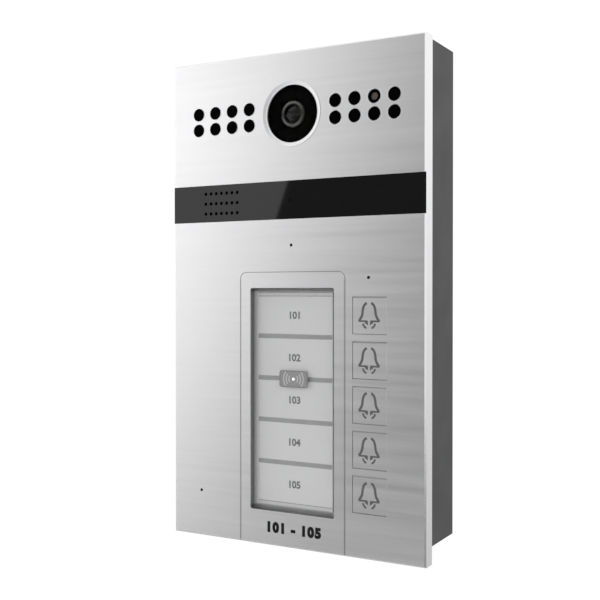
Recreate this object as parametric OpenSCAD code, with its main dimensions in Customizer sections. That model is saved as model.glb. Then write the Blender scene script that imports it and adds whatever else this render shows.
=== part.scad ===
// Surface-mounted door intercom panel with a camera, a name window and five call buttons.
// Millimetres. X is to the right as seen from the front, +Y points into the wall, +Z is up.
// The origin is the centre of the wall screw pattern, on the back plane that rests on the wall.

/* [Faceplate] */
// Width of the faceplate
plate_w = 130; // [126:1:170]
// Height of the faceplate
plate_h = 225; // [222:1:280]
// Thickness of the faceplate's front skin
skin_t = 3; // [2.6:0.1:3.6]
// Depth of the faceplate's rim, from its front face
rim_depth = 7.2; // [7:0.1:9]
// Wall of the rim
rim_wall = 2; // [1.5:0.1:2.5]
// Bright chamfer round the front edges
edge_chamfer = 0.7; // [0.3:0.1:1.2]

/* [Back box] */
// Depth from the front face to the wall
total_depth = 35; // [34:1:50]
// How far the box stands in from the faceplate's sides
box_side_inset = 1; // [0.8:0.1:1.4]
// How far the box stands in from the faceplate's top
box_top_inset = 1; // [0.8:0.1:1.4]
// How far the faceplate hangs below the box
box_bottom_inset = 7; // [7:0.5:9]
// Wall of the box
box_wall = 2.5; // [2.5:0.1:3]
// Floor of the box
box_floor = 3; // [2:0.1:4]

/* [Wall mount] */
// Distance between wall screws, across
screw_pitch_x = 60; // [50:1:80]
// Distance between wall screws, up and down
screw_pitch_z = 160; // [120:1:170]
// Diameter of the wall screw holes
wall_hole_d = 4.5; // [4:0.1:5.5]
// Bore of the cable grommet
cable_d = 12; // [8:1:14]
// Height of the cable entry, from the origin
cable_z = -20; // [-40:1:40]
// Depth of the shallow pockets on the wall side
pocket_depth = 0.8; // [0.4:0.1:1.2]

/* [Camera] */
// Drop of the camera's centre from the top edge
camera_drop = 28.3; // [26:0.1:32]
// Outer diameter of the silver bezel
bezel_d = 30; // [28:0.1:31]
// How far the bezel stands proud
bezel_proud = 0.2; // [0.1:0.1:0.4]
// Depth of the bezel's dish, from the front face down to its inner lip
bezel_dish = 0.6; // [0.4:0.1:1.2]
// Width of the bezel's inner lip
bezel_lip = 0.5; // [0.3:0.1:0.7]
// Diameter of the black window
window_d = 26; // [22:0.1:26.4]
// Diameter of the lens barrel
barrel_d = 12; // [10:0.1:14]
// Diameter of the front lens
lens_d = 9.6; // [7:0.1:10]

/* [Night lights] */
// Diameter of the round light holes
led_hole_d = 6; // [5.6:0.1:6.6]
// Distance from the camera to the first column
led_first_x = 22.3; // [22:0.1:24]
// Column pitch
led_pitch_x = 9.43; // [8:0.01:9.6]
// Row pitch
led_pitch_z = 7.5; // [7:0.1:9]
// Columns on each side
led_columns = 4; // [2:1:4]
// Drop of the middle of the rows from the top edge
led_drop = 28.35; // [26:0.05:32]
// Diameter of each light
led_d = 5; // [3:0.5:5]

/* [Band] */
// Height of the black band
band_h = 17.4; // [16:0.1:22]
// Drop of the band's centre from the top edge
band_drop = 67.2; // [62:0.1:72]
// Thickness of the band
band_t = 1.4; // [1:0.1:1.6]
// Thickness of its two ends, which cover the rim
band_end_t = 0.3; // [0.2:0.1:0.6]
// Centre of the speaker, from the middle
speaker_x = -37.8; // [-38:0.1:-30]
// Diameter of the speaker
speaker_d = 32; // [28:1:32]
// Diameter of a sound hole
sound_hole_d = 1.6; // [1:0.1:2]
// Diameter of the status light in the middle of the band
status_d = 2.2; // [1.2:0.1:2.4]

/* [Name window] */
// Width of a name card
card_w = 38.4; // [30:0.1:47]
// Height of a name card
card_h = 17.6; // [14:0.1:18.5]
// Height of a divider between cards
divider_h = 1.7; // [1:0.1:2.5]
// Light margin round the cards
card_margin = 1.05; // [0.6:0.05:1.5]
// Light margin above and below the cards
card_end = 1.5; // [1:0.1:2.5]
// Dark gap between the card panel and the window's sides
window_gap_x = 1.5; // [1:0.1:2]
// Dark gap above and below the card panel
window_gap_z = 2.15; // [1.5:0.05:2.5]
// Border of the sliding name frame, at its sides
frame_side = 5.25; // [4.5:0.05:6]
// Border of the frame above the window
frame_head = 7.15; // [5:0.05:9]
// Foot of the frame below the window
frame_foot = 15.85; // [15:0.05:20]
// Radius of the frame's top corners
frame_r = 3; // [1:0.5:5]
// Radius of the window's corners
window_r = 1; // [0.5:0.1:2]
// Thickness of the clear pane
pane_t = 0.8; // [0.6:0.1:1]
// Width of the card reader's badge
badge_w = 14.5; // [10:0.5:20]
// Height of the badge
badge_h = 7.7; // [5:0.1:10]

/* [Call buttons] */
// Side of a button
button_w = 16.2; // [13:0.1:17]
// Distance between the name frame and the buttons
button_margin = 3.9; // [3.6:0.1:5]
// Pitch of the buttons
button_pitch = 19.5; // [19:0.1:20]
// How far a button travels
button_travel = 0.8; // [0.4:0.1:1]
// Gap round a button
button_gap = 0.1; // [0.1:0.05:0.3]
// Chamfer round a button's front edges
button_chamfer = 0.1; // [0.1:0.05:0.4]

/* [Clearances] */
// Gap round the sliding name frame
slide_gap = 0.2; // [0.2:0.05:0.4]
// Gap round pieces that drop into place
fit_gap = 0.2; // [0.1:0.05:0.3]
// Gap between a screw and its thread
screw_gap = 0.05; // [0.03:0.01:0.1]

/* [Hidden] */
e = 0.01;
rows = 5;

// Heights
box_h = plate_h - box_top_inset - box_bottom_inset;
box_w = plate_w - 2 * box_side_inset;
box_bottom = -box_h / 2;
box_top = box_h / 2;
plate_bottom = box_bottom - box_bottom_inset;
plate_top = box_top + box_top_inset;
camera_z = plate_top - camera_drop;
led_z = plate_top - led_drop;
band_z = plate_top - band_drop;
panel_w = card_w + 2 * card_margin;
panel_h = rows * card_h + (rows - 1) * divider_h + 2 * card_end;
window_w = panel_w + 2 * window_gap_x;
window_h = panel_h + 2 * window_gap_z;
frame_w = window_w + 2 * frame_side;
frame_h = frame_foot + window_h + frame_head;
name_z = plate_bottom + frame_foot + window_h / 2;
card_pitch = card_h + divider_h;
button_x = frame_w / 2 + button_margin + button_w / 2;

// Depths, from the front face at -total_depth to the wall at 0
face_y = -total_depth;
skin_y = face_y + skin_t;
rim_y = face_y + rim_depth;

// Name window, from front to back
pane_rebate = 0.6;
pane_rim = 1.5;
pane_front = skin_y - pane_rebate;
pane_back = pane_front + pane_t;
card_t = 0.3;
card_front = pane_back + slide_gap;
tray_front = card_front + card_t;
tray_back = card_front + 3;
tray_floor_t = 1.2;
diffuser_t = 1;
badge_r = 1.3;
badge_t = 0.4;
seal_front = pane_back + slide_gap + 0.1;
seal_t = 1;
seal_margin = 2.5;
backlight_board_y = tray_back + 3.5;
board_t = 1.6;

// The frame's edges that slide behind the faceplate
wing_w = 1;
wing_front = skin_y + slide_gap;
wing_t = 1;
button_lip = 0.9;
rail_w = button_margin - button_lip - wing_w - 2 * slide_gap;
rail_lip_t = 1.4;
rail_bottom = plate_bottom + 20;
rail_top = plate_bottom + frame_h - 2 * frame_r - 1;

// Rear cover and gasket
gasket_t = 1;
flange_t = 1.5;
flange_y = rim_y - gasket_t - flange_t;
flange_w = plate_w - 2 * rim_wall - 2 * fit_gap;
flange_top = plate_top - rim_wall - fit_gap;
flange_bottom = plate_bottom + rim_wall + slide_gap;
gasket_w = 1.9;
tub_margin_x = 6.4;
tub_margin_z = 9.8;
tub_wall = 1.8;
tub_w = flange_w - 2 * tub_margin_x;
tub_top = flange_top - tub_margin_z;
tub_bottom = box_bottom + 8.5;
tub_back = -box_floor - 8;
inner_w = tub_w - 2 * tub_wall;
inner_top = tub_top - tub_wall;
inner_bottom = tub_bottom + tub_wall;
hook_xs = [-30, 30];
hook_w = 12;
hook_y = tub_back - 6;
hook_t = 2;
hook_rise = box_top - box_wall - 0.6 - tub_top;
bay_w = 84;
bay_h = 20;
bay_z = tub_bottom + 20;

// Wall side of the box
back_border = 7;
back_rib = 10;
pocket_rows = 3;
pad_d = 15;
grommet_pad_d = 30;
knockout_d = 16;
knockout_groove = 0.6;
drain_d = 3;
drain_xs = [-22, 22];

// Screws
cover_screw_d = 2.4;
cover_head_d = 4;
cover_head_h = 1.3;
cover_screws_at = [
    for (side = [-1, 1], x = [50, frame_w / 2 + 7]) [side * x, box_bottom + 5.8],
    for (side = [-1, 1], x = [50, 17]) [side * x, flange_top - 5.9]
];
boss_wall = 1.1;
bottom_screw_d = 3;
bottom_screw_x = [-45, 45];
bottom_screw_y = (skin_y + rim_y) / 2;
bottom_head_d = 5;
bottom_head_h = 1;
bottom_head_sunk = 0.1;
tab_xs = [bottom_screw_x[0], 0, bottom_screw_x[1]];
tab_w = 10;
tab_bottom = plate_bottom + rim_wall + 0.6;
tab_top = box_bottom - 1.1;
lock_depth = tab_top - plate_bottom;

// Camera, from front to back
window_front = face_y + bezel_dish + 0.1;
window_t = 0.8;
bezel_neck = 0.6;
bezel_seat = bezel_dish + 0.7;
bezel_edge = 0.15;
bezel_back = skin_y + 1.9;
bezel_bore_d = window_d + 0.1;
bezel_neck_d = bezel_bore_d + 2 * bezel_neck;
baffle_t = 1.6;
baffle_back = window_front + window_t + baffle_t;
lens_front = window_front + window_t + 0.1;
holder_w = 22;
holder_h = 16;
holder_front = face_y + 11;
camera_board_y = tub_back - 4.6;
camera_board_w = 35;
camera_board_h = 25;
holder_back = camera_board_y;
sensor_t = 1.2;
filter_t = 1;
filter_w = 12;
filter_h = 10;
filter_travel = 5;
filter_y = holder_back - 3.6;
filter_slot_gap = 0.3;
filter_slot_w = filter_w + filter_travel + 2;

// Night lights
peg_gap = 0.05;
peg_recess = 0.15;
ir_plate_t = 1.2;
ir_margin = 1;
led_board_y = skin_y + 8.6;
led_front = skin_y + ir_plate_t + 0.4;
sensor_column = 2;
sensor_bore_d = 3.3;
led_xs = [for (i = [0:led_columns - 1]) led_first_x + i * led_pitch_x];
led_zs = [led_z + led_pitch_z / 2, led_z - led_pitch_z / 2];
led_mid_x = (led_xs[0] + led_xs[led_columns - 1]) / 2;
ir_plate_w = led_xs[led_columns - 1] - led_xs[0] + led_hole_d + 2 * ir_margin;
ir_plate_h = led_pitch_z + led_hole_d + 2 * ir_margin;

// Speaker
sound_columns = 7;
sound_rows = 3;
sound_pitch_x = 2.95;
sound_pitch_z = 4.73;
sound_slot = [21, 3];
speaker_gasket_t = 1;
speaker_front = skin_y + speaker_gasket_t;
basket_depth = 7;
magnet_d = 20;
magnet_t = 5;

// Status light
status_flange_d = 4;
status_flange_t = 1;
status_body_d = 3;
status_body_t = 3.5;
status_lead_t = 0.5;
status_lead = 4;

// Microphones
mic_hole_d = 1.4;
mics_at = [
    [0, plate_bottom + frame_h + 12.2],
    [button_x - 0.5, plate_bottom + frame_h - 2.7],
    [-49.2, plate_bottom + 21.6]
];
mic_d = 4;
mic_t = 2;
boot_d = 6.6;
boot_t = 3.4;

// Call buttons, from front to back
button_zs = [for (i = [0:rows - 1]) name_z + ((rows - 1) / 2 - i) * button_pitch];
card_zs = [for (i = [0:rows - 1]) name_z + ((rows - 1) / 2 - i) * card_pitch];
button_recess = 0.1;
lip_front = skin_y + 0.3;
lip_t = 1.2;
stem_d = 5;
stem_end = lip_front + lip_t + 1.6;
plunger_d = 3;
switch_w = 6;
switch_t = 3.4;
switch_front = stem_end + button_travel + 0.4;
key_board_y = switch_front + switch_t;
key_board_w = 16;
plunger_end = key_board_y - 0.9;

// Main board
main_board_y = tub_back - tub_wall - 5.5 - board_t;
main_board_w = inner_w - 2.4;
main_board_top = band_z - speaker_d / 2 - 7;
main_board_bottom = inner_bottom + 1.6;
main_board_mid = (main_board_top + main_board_bottom) / 2;
post_d = 6;
post_inset = 4.5;
board_screw_d = 2;
board_head_d = 4;
posts_at = [
    for (x = [-1, 1], z = [main_board_bottom + post_inset, main_board_top - post_inset])
        [x * (main_board_w / 2 - post_inset), z]
];
terminal_w = 34;
terminal_h = 9;
terminal_x = 20;
terminal_back = tub_back + 1;

// Cable grommet
grommet_wall = 3;
grommet_lip = 2;
grommet_lip_t = 1.4;

// ---- Shapes used by many pieces ----

// A block from its lowest corner to its highest corner
module block(low, high) translate(low) cube(high - low);

// A block centred on x and z, from y0 to y1
module slab(x, z, w, h, y0, y1) translate([x - w / 2, y0, z - h / 2]) cube([w, y1 - y0, h]);

// A round bar along Y, from y0 to y1
module bar(x, z, d, y0, y1)
    translate([x, y0, z]) rotate([-90, 0, 0]) cylinder(d = d, h = y1 - y0, $fn = 48);

// A flat outline in X and Z, given thickness from y0 to y1
module sheet(y0, y1) translate([0, y1, 0]) rotate([90, 0, 0]) linear_extrude(y1 - y0) children();

// A rectangle with round corners
module round_rect(w, h, r) {
    square([w - 2 * r, h], center = true);
    square([w, h - 2 * r], center = true);
    for (x = [-1, 1], z = [-1, 1]) translate([x * (w / 2 - r), z * (h / 2 - r)]) circle(r = r, $fn = 48);
}

// A profile of radius and depth, spun about the Y axis through x and z
module spin(x, z) translate([x, 0, z]) rotate([-90, 0, 0]) rotate_extrude($fn = 96) children();

// A hollow frame in X and Z, from y0 to y1
module ring_frame(x, z, w, h, border, y0, y1) difference() {
    slab(x, z, w, h, y0, y1);
    slab(x, z, w - 2 * border, h - 2 * border, y0 - e, y1 + e);
}

// A block whose four front edges are chamfered by c
module chamfered_block(low, high, c) intersection() {
    translate([0, 0, low.z]) linear_extrude(high.z - low.z) polygon([
        [low.x, high.y], [high.x, high.y], [high.x, low.y + c], [high.x - c, low.y],
        [low.x + c, low.y], [low.x, low.y + c]
    ]);
    translate([low.x, 0, 0]) rotate([90, 0, 90]) linear_extrude(high.x - low.x) polygon([
        [high.y, low.z], [high.y, high.z], [low.y + c, high.z], [low.y, high.z - c],
        [low.y, low.z + c], [low.y + c, low.z]
    ]);
}

// The faceplate's outer shape
module plate_body() chamfered_block(
    [-plate_w / 2, face_y, plate_bottom], [plate_w / 2, rim_y, plate_top], edge_chamfer);

// The name frame's outline, grown by a gap all round and open at the bottom
module frame_outline(gap) {
    w = frame_w + 2 * gap;
    r = frame_r + gap;
    top = plate_bottom + frame_h + gap;
    translate([-w / 2, plate_bottom - 1]) square([w, top - r - plate_bottom + 1]);
    translate([-w / 2 + r, plate_bottom]) square([w - 2 * r, top - plate_bottom]);
    for (x = [-1, 1]) translate([x * (w / 2 - r), top - r]) circle(r = r, $fn = 48);
}

// ---- Front ----

module faceplate() color("silver") difference() {
    union() {
        difference() {
            plate_body();
            block([-plate_w / 2 + rim_wall, skin_y, plate_bottom + rim_wall],
                  [plate_w / 2 - rim_wall, rim_y + 1, plate_top - rim_wall]);
        }
        for (p = cover_screws_at) bar(p[0], p[1], cover_screw_d + 2 * boss_wall, skin_y - e, flange_y);
        for (side = [-1, 1]) frame_rail(side);
    }
    bar(0, camera_z, bezel_neck_d + 2 * peg_gap, face_y - 1, skin_y + 1);
    bar(0, camera_z, bezel_d + 2 * peg_gap, face_y - 1, face_y + bezel_seat);
    for (side = [-1, 1], x = led_xs, z = led_zs) bar(side * x, z, led_hole_d, face_y - 1, skin_y + 1);
    slab(0, band_z, plate_w + 2, band_h, face_y - 1, face_y + band_end_t);
    slab(0, band_z, plate_w - 2 * rim_wall, band_h, face_y - 1, face_y + band_t);
    for (row = [0:sound_rows - 1])
        slab(speaker_x, sound_z(row), sound_slot[0], sound_slot[1], face_y, skin_y + 1);
    bar(0, band_z, status_d + 2 * peg_gap, face_y - 1, skin_y + 1);
    for (m = mics_at) bar(m[0], m[1], mic_hole_d, face_y - 1, skin_y + 1);
    sheet(face_y - 1, skin_y + e) frame_outline(slide_gap);
    block([-frame_w / 2 - wing_w - slide_gap, skin_y - e, plate_bottom - 1],
          [frame_w / 2 + wing_w + slide_gap, rim_y + 1, plate_bottom + rim_wall + e]);
    for (z = button_zs)
        slab(button_x, z, button_w + 2 * button_gap, button_w + 2 * button_gap, face_y - 1, skin_y + 1);
    for (p = cover_screws_at)
        bar(p[0], p[1], cover_screw_d + 2 * screw_gap, face_y + 1.2, flange_y + 1);
    for (x = bottom_screw_x) bottom_screw_hole(x);
}

// A rail behind the faceplate, whose lip holds one side of the name frame
module frame_rail(side) {
    inner = frame_w / 2 + wing_w + slide_gap;
    lip_inner = frame_w / 2 + wing_w / 2;
    lip_y = wing_front + wing_t + slide_gap;
    mirror([side > 0 ? 0 : 1, 0, 0]) {
        block([inner, skin_y - e, rail_bottom], [inner + rail_w, lip_y + rail_lip_t, rail_top]);
        block([lip_inner, lip_y, rail_bottom], [inner + e, lip_y + rail_lip_t, rail_top]);
    }
}

// The hole for a screw that comes up from below, with its conical seat
module bottom_screw_hole(x) translate([x, bottom_screw_y, plate_bottom]) {
    translate([0, 0, -1]) cylinder(d = bottom_screw_d + 2 * fit_gap, h = rim_wall + 2, $fn = 48);
    translate([0, 0, -1]) cylinder(d = bottom_head_d + 2 * fit_gap, h = 1 + bottom_head_sunk, $fn = 48);
    translate([0, 0, bottom_head_sunk - e]) cylinder(
        d1 = bottom_head_d + 2 * fit_gap, d2 = bottom_screw_d + 2 * fit_gap, h = bottom_head_h, $fn = 48);
}

// Height of one row of sound holes
function sound_z(row) = band_z + (row - (sound_rows - 1) / 2) * sound_pitch_z;

module band_panel() color("#1a1a1c") difference() {
    union() {
        slab(0, band_z, plate_w, band_h, face_y, face_y + band_end_t);
        slab(0, band_z, plate_w - 2 * rim_wall - 0.1, band_h, face_y, face_y + band_t);
    }
    for (row = [0:sound_rows - 1], i = [0:sound_columns - 1])
        bar(speaker_x + (i - (sound_columns - 1) / 2) * sound_pitch_x, sound_z(row), sound_hole_d,
            face_y - 1, face_y + band_t + 1);
    bar(0, band_z, status_d + 2 * peg_gap, face_y - 1, face_y + band_t + 1);
}

// A dished ring: it slopes in from the face to a lip round the window
module camera_bezel() color("gainsboro") spin(0, camera_z) polygon([
    [bezel_bore_d / 2, face_y + bezel_dish], [bezel_bore_d / 2 + bezel_lip, face_y + bezel_dish],
    [bezel_d / 2 - bezel_edge, face_y - bezel_proud], [bezel_d / 2, face_y - bezel_proud + bezel_edge],
    [bezel_d / 2, face_y + bezel_seat], [bezel_neck_d / 2, face_y + bezel_seat],
    [bezel_neck_d / 2, bezel_back], [window_d / 2 - 1.2, bezel_back],
    [window_d / 2 - 1.2, baffle_back + 0.1], [bezel_bore_d / 2, baffle_back + 0.1]
]);

module camera_window() color("#202226", 0.6)
    bar(0, camera_z, window_d, window_front, window_front + window_t);

module camera_baffle() color("#101010") spin(0, camera_z) polygon([
    [barrel_d / 2 + 0.3, baffle_back], [window_d / 2, baffle_back], [window_d / 2, window_front + window_t],
    [window_d / 2 - 0.6, window_front + window_t], [barrel_d / 2 + 0.3, baffle_back - 0.9]
]);

module lens_barrel() color("#2a2a2c") spin(0, camera_z) polygon([
    [lens_d / 2 - 0.4, lens_front + 2.6], [lens_d / 2 + peg_gap, lens_front + 2.6],
    [lens_d / 2 + peg_gap, lens_front + 0.4], [barrel_d / 2 - 0.3, lens_front],
    [barrel_d / 2, lens_front + 0.3], [barrel_d / 2, filter_y - 1.6], [lens_d / 2 - 1.4, filter_y - 1.6],
    [lens_d / 2 - 1.4, lens_front + 5]
]);

// The front lens bulges 0.9 at its middle
module camera_lens() {
    bulge = 0.9;
    radius = (lens_d * lens_d / 4 + bulge * bulge) / (2 * bulge);
    color("#3a4048", 0.7) intersection() {
        bar(0, camera_z, lens_d, lens_front - 1, lens_front + 2.6);
        translate([0, lens_front + 0.1 + radius, camera_z]) sphere(r = radius, $fn = 96);
    }
}

module lens_holder() color("#262628") difference() {
    slab(0, camera_z, holder_w, holder_h, holder_front, holder_back);
    bar(0, camera_z, barrel_d, holder_front - 1, filter_y - 1.6 + e);
    bar(0, camera_z, filter_h - 2, holder_front, holder_back + 1);
    slab(0, camera_z, filter_slot_w, filter_h + 2 * filter_slot_gap, filter_y - filter_slot_gap,
         filter_y + filter_t + filter_slot_gap);
    slab(0, camera_z, 12, 12, holder_back - sensor_t - 0.6, holder_back + 1);
}

module ir_cut_filter() color("#7090a8", 0.7)
    slab(-filter_travel / 2, camera_z, filter_w, filter_h, filter_y, filter_y + filter_t);

module image_sensor() color("#303844") slab(0, camera_z, 8, 8, holder_back - sensor_t, holder_back);

module camera_board() color("darkgreen")
    slab(0, camera_z, camera_board_w, camera_board_h, camera_board_y, camera_board_y + board_t);

// ---- Night lights ----

// A dark strip behind the faceplate with one peg in each hole
module ir_window(side) {
    slab(side * led_mid_x, led_z, ir_plate_w, ir_plate_h, skin_y, skin_y + ir_plate_t);
    for (x = led_xs, z = led_zs)
        bar(side * x, z, led_hole_d - 2 * peg_gap, face_y + peg_recess, skin_y + e);
}

module left_ir_window() color("#0c0c0e") ir_window(-1);

module right_ir_window() color("#0c0c0e") difference() {
    ir_window(1);
    bar(led_xs[sensor_column], led_zs[0], sensor_bore_d, face_y - 1, skin_y + ir_plate_t + 1);
}

module light_sensor() color("#6a5a52") {
    bar(led_xs[sensor_column], led_zs[0], sensor_bore_d - 2 * peg_gap, face_y + 0.5, skin_y + ir_plate_t);
    bar(led_xs[sensor_column], led_zs[0], led_d, skin_y + ir_plate_t, led_board_y);
}

// One round light with a domed front and a flange on its board
module ir_led(x, z) {
    dome = led_d / 2;
    translate([x, led_front + dome, z]) sphere(d = led_d, $fn = 48);
    bar(x, z, led_d, led_front + dome, led_board_y);
    bar(x, z, led_d + 0.8, led_board_y - 1, led_board_y);
}

module ir_leds() color("#1c1c24") for (side = [-1, 1], i = [0:led_columns - 1], row = [0, 1])
    if (side < 0 || i != sensor_column || row != 0) ir_led(side * led_xs[i], led_zs[row]);

module led_boards() color("darkgreen") for (side = [-1, 1])
    slab(side * led_mid_x, led_z, ir_plate_w, ir_plate_h, led_board_y, led_board_y + board_t);

// ---- Sound ----

module speaker_gasket() color("#202020") spin(speaker_x, band_z) polygon([
    [speaker_d / 2 - 3, skin_y], [speaker_d / 2, skin_y], [speaker_d / 2, speaker_front],
    [speaker_d / 2 - 3, speaker_front]
]);

module speaker_basket() color("dimgray") spin(speaker_x, band_z) polygon([
    [speaker_d / 2 - 2, speaker_front], [speaker_d / 2, speaker_front],
    [speaker_d / 2, speaker_front + 1.5], [magnet_d / 2 + 2, speaker_front + basket_depth],
    [6, speaker_front + basket_depth], [6, speaker_front + basket_depth - 1],
    [magnet_d / 2 + 1, speaker_front + basket_depth - 1], [speaker_d / 2 - 2, speaker_front + 1.5]
]);

module speaker_cone() color("#28282c") spin(speaker_x, band_z) polygon([
    [0, speaker_front + 2.4], [5, speaker_front + 3.2], [speaker_d / 2 - 2.4, speaker_front + 0.6],
    [speaker_d / 2 - 2.4, speaker_front + 1], [5, speaker_front + 3.6], [5, speaker_front + basket_depth],
    [0, speaker_front + basket_depth]
]);

module speaker_magnet() color("gray")
    bar(speaker_x, band_z, magnet_d, speaker_front + basket_depth, speaker_front + basket_depth + magnet_t);

// A small light whose front fills its hole in the band, with a flange and two leads behind the plate
module status_light() color("#2a2a30") {
    flange_back = skin_y + status_flange_t;
    body_back = flange_back + status_body_t;
    bar(0, band_z, status_d, face_y + peg_recess, skin_y + e);
    bar(0, band_z, status_flange_d, skin_y, flange_back);
    bar(0, band_z, status_body_d, flange_back - e, body_back);
    for (x = [-0.6, 0.6])
        slab(x, band_z, status_lead_t, status_lead_t, body_back - e, body_back + status_lead);
}

module mic_boots() color("#222222") for (m = mics_at) difference() {
    bar(m[0], m[1], boot_d, skin_y, skin_y + boot_t);
    bar(m[0], m[1], mic_hole_d, skin_y - 1, skin_y + 2);
    bar(m[0], m[1], mic_d, skin_y + boot_t - mic_t, skin_y + boot_t + 1);
}

module microphones() color("goldenrod") for (m = mics_at)
    bar(m[0], m[1], mic_d, skin_y + boot_t - mic_t, skin_y + boot_t);

// ---- Name window ----

module name_frame() color("silver") difference() {
    union() {
        intersection() {
            plate_body();
            union() {
                sheet(face_y, skin_y) frame_outline(0);
                block([-frame_w / 2, skin_y - e, plate_bottom],
                      [frame_w / 2, rim_y, plate_bottom + rim_wall]);
            }
        }
        for (side = [-1, 1]) frame_wing(side);
    }
    translate([0, 0, name_z]) sheet(face_y - 1, skin_y + 1) round_rect(window_w, window_h, window_r);
    slab(0, name_z, window_w + 2 * pane_rim + fit_gap, window_h + 2 * pane_rim + fit_gap,
         pane_front, skin_y + 1);
    bottom_screw_hole(0);
}

// A wing on one side of the frame, which runs behind the faceplate
module frame_wing(side) mirror([side > 0 ? 0 : 1, 0, 0]) {
    bottom = plate_bottom + rim_wall;
    top = plate_bottom + frame_h - 2 * frame_r;
    block([frame_w / 2 - 1.5, skin_y - e, bottom], [frame_w / 2, wing_front + wing_t, top]);
    block([frame_w / 2 - e, wing_front, bottom], [frame_w / 2 + wing_w, wing_front + wing_t, top]);
}

module window_pane() color("aliceblue", 0.3)
    slab(0, name_z, window_w + 2 * pane_rim, window_h + 2 * pane_rim, pane_front, pane_back);

module reader_badge() color("gray") translate([0, 0, (card_zs[1] + card_zs[2]) / 2])
    sheet(pane_front - badge_t, pane_front) round_rect(badge_w, badge_h, badge_r);

// A screw from below: conical head at the bottom, shank up to its thread
module bottom_screw(x) translate([x, bottom_screw_y, plate_bottom]) difference() {
    translate([0, 0, bottom_head_sunk]) {
        cylinder(d1 = bottom_head_d, d2 = bottom_screw_d, h = bottom_head_h, $fn = 48);
        cylinder(d = bottom_screw_d, h = lock_depth - 2 * bottom_head_sunk, $fn = 48);
    }
    translate([0, 0, -e]) cylinder(d = 1.8, h = 0.8, $fn = 6);
}

module frame_screw() color("silver") bottom_screw(0);

module lock_screws() color("silver") for (x = bottom_screw_x) bottom_screw(x);

module name_cards() color("whitesmoke") for (z = card_zs)
    slab(0, z, card_w, card_h - 2 * fit_gap, card_front, tray_front);

module light_seal() color("dimgray") difference() {
    slab(0, name_z, window_w + 2 * seal_margin, window_h + 2 * seal_margin,
         seal_front, seal_front + seal_t);
    slab(0, name_z, panel_w + fit_gap, panel_h + fit_gap, seal_front - 1, seal_front + seal_t + 1);
}

module card_tray() color("gainsboro") difference() {
    slab(0, name_z, panel_w, panel_h, card_front, tray_back);
    for (z = card_zs) slab(0, z, card_w + fit_gap, card_h, card_front - 1, tray_front);
    slab(0, name_z, panel_w - 3, panel_h - 3, tray_front + tray_floor_t, tray_back + 1);
}

module backlight_diffuser() color("white")
    slab(0, name_z, panel_w - 3 - fit_gap, panel_h - 3 - fit_gap, tray_front + tray_floor_t,
         tray_front + tray_floor_t + diffuser_t);

module backlight_leds() color("lightyellow") for (z = card_zs, x = [-12, 12])
    slab(x, z, 3, 3, backlight_board_y - 0.8, backlight_board_y);

module backlight_board() color("darkgreen")
    slab(0, name_z, panel_w + 3, panel_h, backlight_board_y, backlight_board_y + 1);

module reader_antenna() color("darkgoldenrod")
    ring_frame(0, name_z, panel_w - 2, 60, 3, backlight_board_y + 1, backlight_board_y + 1.4);

// ---- Call buttons ----

module call_button(i) color("silver") {
    z = button_zs[i];
    half = button_w / 2;
    lip_w = button_w + 2 * button_lip;
    chamfered_block([button_x - half, face_y + button_recess, z - half],
                    [button_x + half, lip_front + lip_t, z + half], button_chamfer);
    slab(button_x, z, lip_w, lip_w, lip_front, lip_front + lip_t);
    bar(button_x, z, stem_d, lip_front + lip_t - e, stem_end);
}
module call_button_1() call_button(0);
module call_button_2() call_button(1);
module call_button_3() call_button(2);
module call_button_4() call_button(3);
module call_button_5() call_button(4);

module switch_plunger(i) color("ivory") bar(button_x, button_zs[i], plunger_d, stem_end, plunger_end);
module switch_plunger_1() switch_plunger(0);
module switch_plunger_2() switch_plunger(1);
module switch_plunger_3() switch_plunger(2);
module switch_plunger_4() switch_plunger(3);
module switch_plunger_5() switch_plunger(4);

module call_switches() color("#303030") for (z = button_zs) difference() {
    slab(button_x, z, switch_w, switch_w, switch_front, key_board_y);
    bar(button_x, z, plunger_d + 2 * screw_gap, switch_front - 1, key_board_y + 1);
}

module key_board() color("darkgreen")
    slab(button_x, name_z, key_board_w, (rows - 1) * button_pitch + button_w,
         key_board_y, key_board_y + board_t);

// ---- Main board ----

module main_board() color("darkgreen") difference() {
    slab(0, main_board_mid, main_board_w, main_board_top - main_board_bottom,
         main_board_y, main_board_y + board_t);
    for (p = posts_at)
        bar(p[0], p[1], board_screw_d + 2 * fit_gap, main_board_y - 1, main_board_y + board_t + 1);
}

module processor() color("#26262a")
    slab(-8, main_board_mid + 20, 16, 16, main_board_y + board_t, main_board_y + board_t + 1.4);

module relay() color("#2858a0") slab(-42, main_board_mid + 10, 16, 19, main_board_y - 8, main_board_y);

module capacitors() color("#2c2c34") for (i = [0:2])
    bar(-42, main_board_mid - 12 - 9 * i, 7, main_board_y - 8, main_board_y);

// A block of wire clamps whose mouths face the wall
module terminal(x, count) difference() {
    slab(x, bay_z, terminal_w, terminal_h, main_board_y + board_t, terminal_back);
    for (i = [0:count - 1])
        bar(x + (i - (count - 1) / 2) * terminal_w / count, bay_z, 2.4,
            terminal_back - 5, terminal_back + 1);
}

module power_terminal() color("seagreen") terminal(-terminal_x, 6);

module network_terminal() color("seagreen") terminal(terminal_x, 8);

module board_screws() color("silver") for (p = posts_at) {
    bar(p[0], p[1], board_head_d, main_board_y - 1.2, main_board_y);
    bar(p[0], p[1], board_screw_d, main_board_y - e, main_board_y + board_t + 3);
}

// ---- Rear cover and box ----

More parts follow.
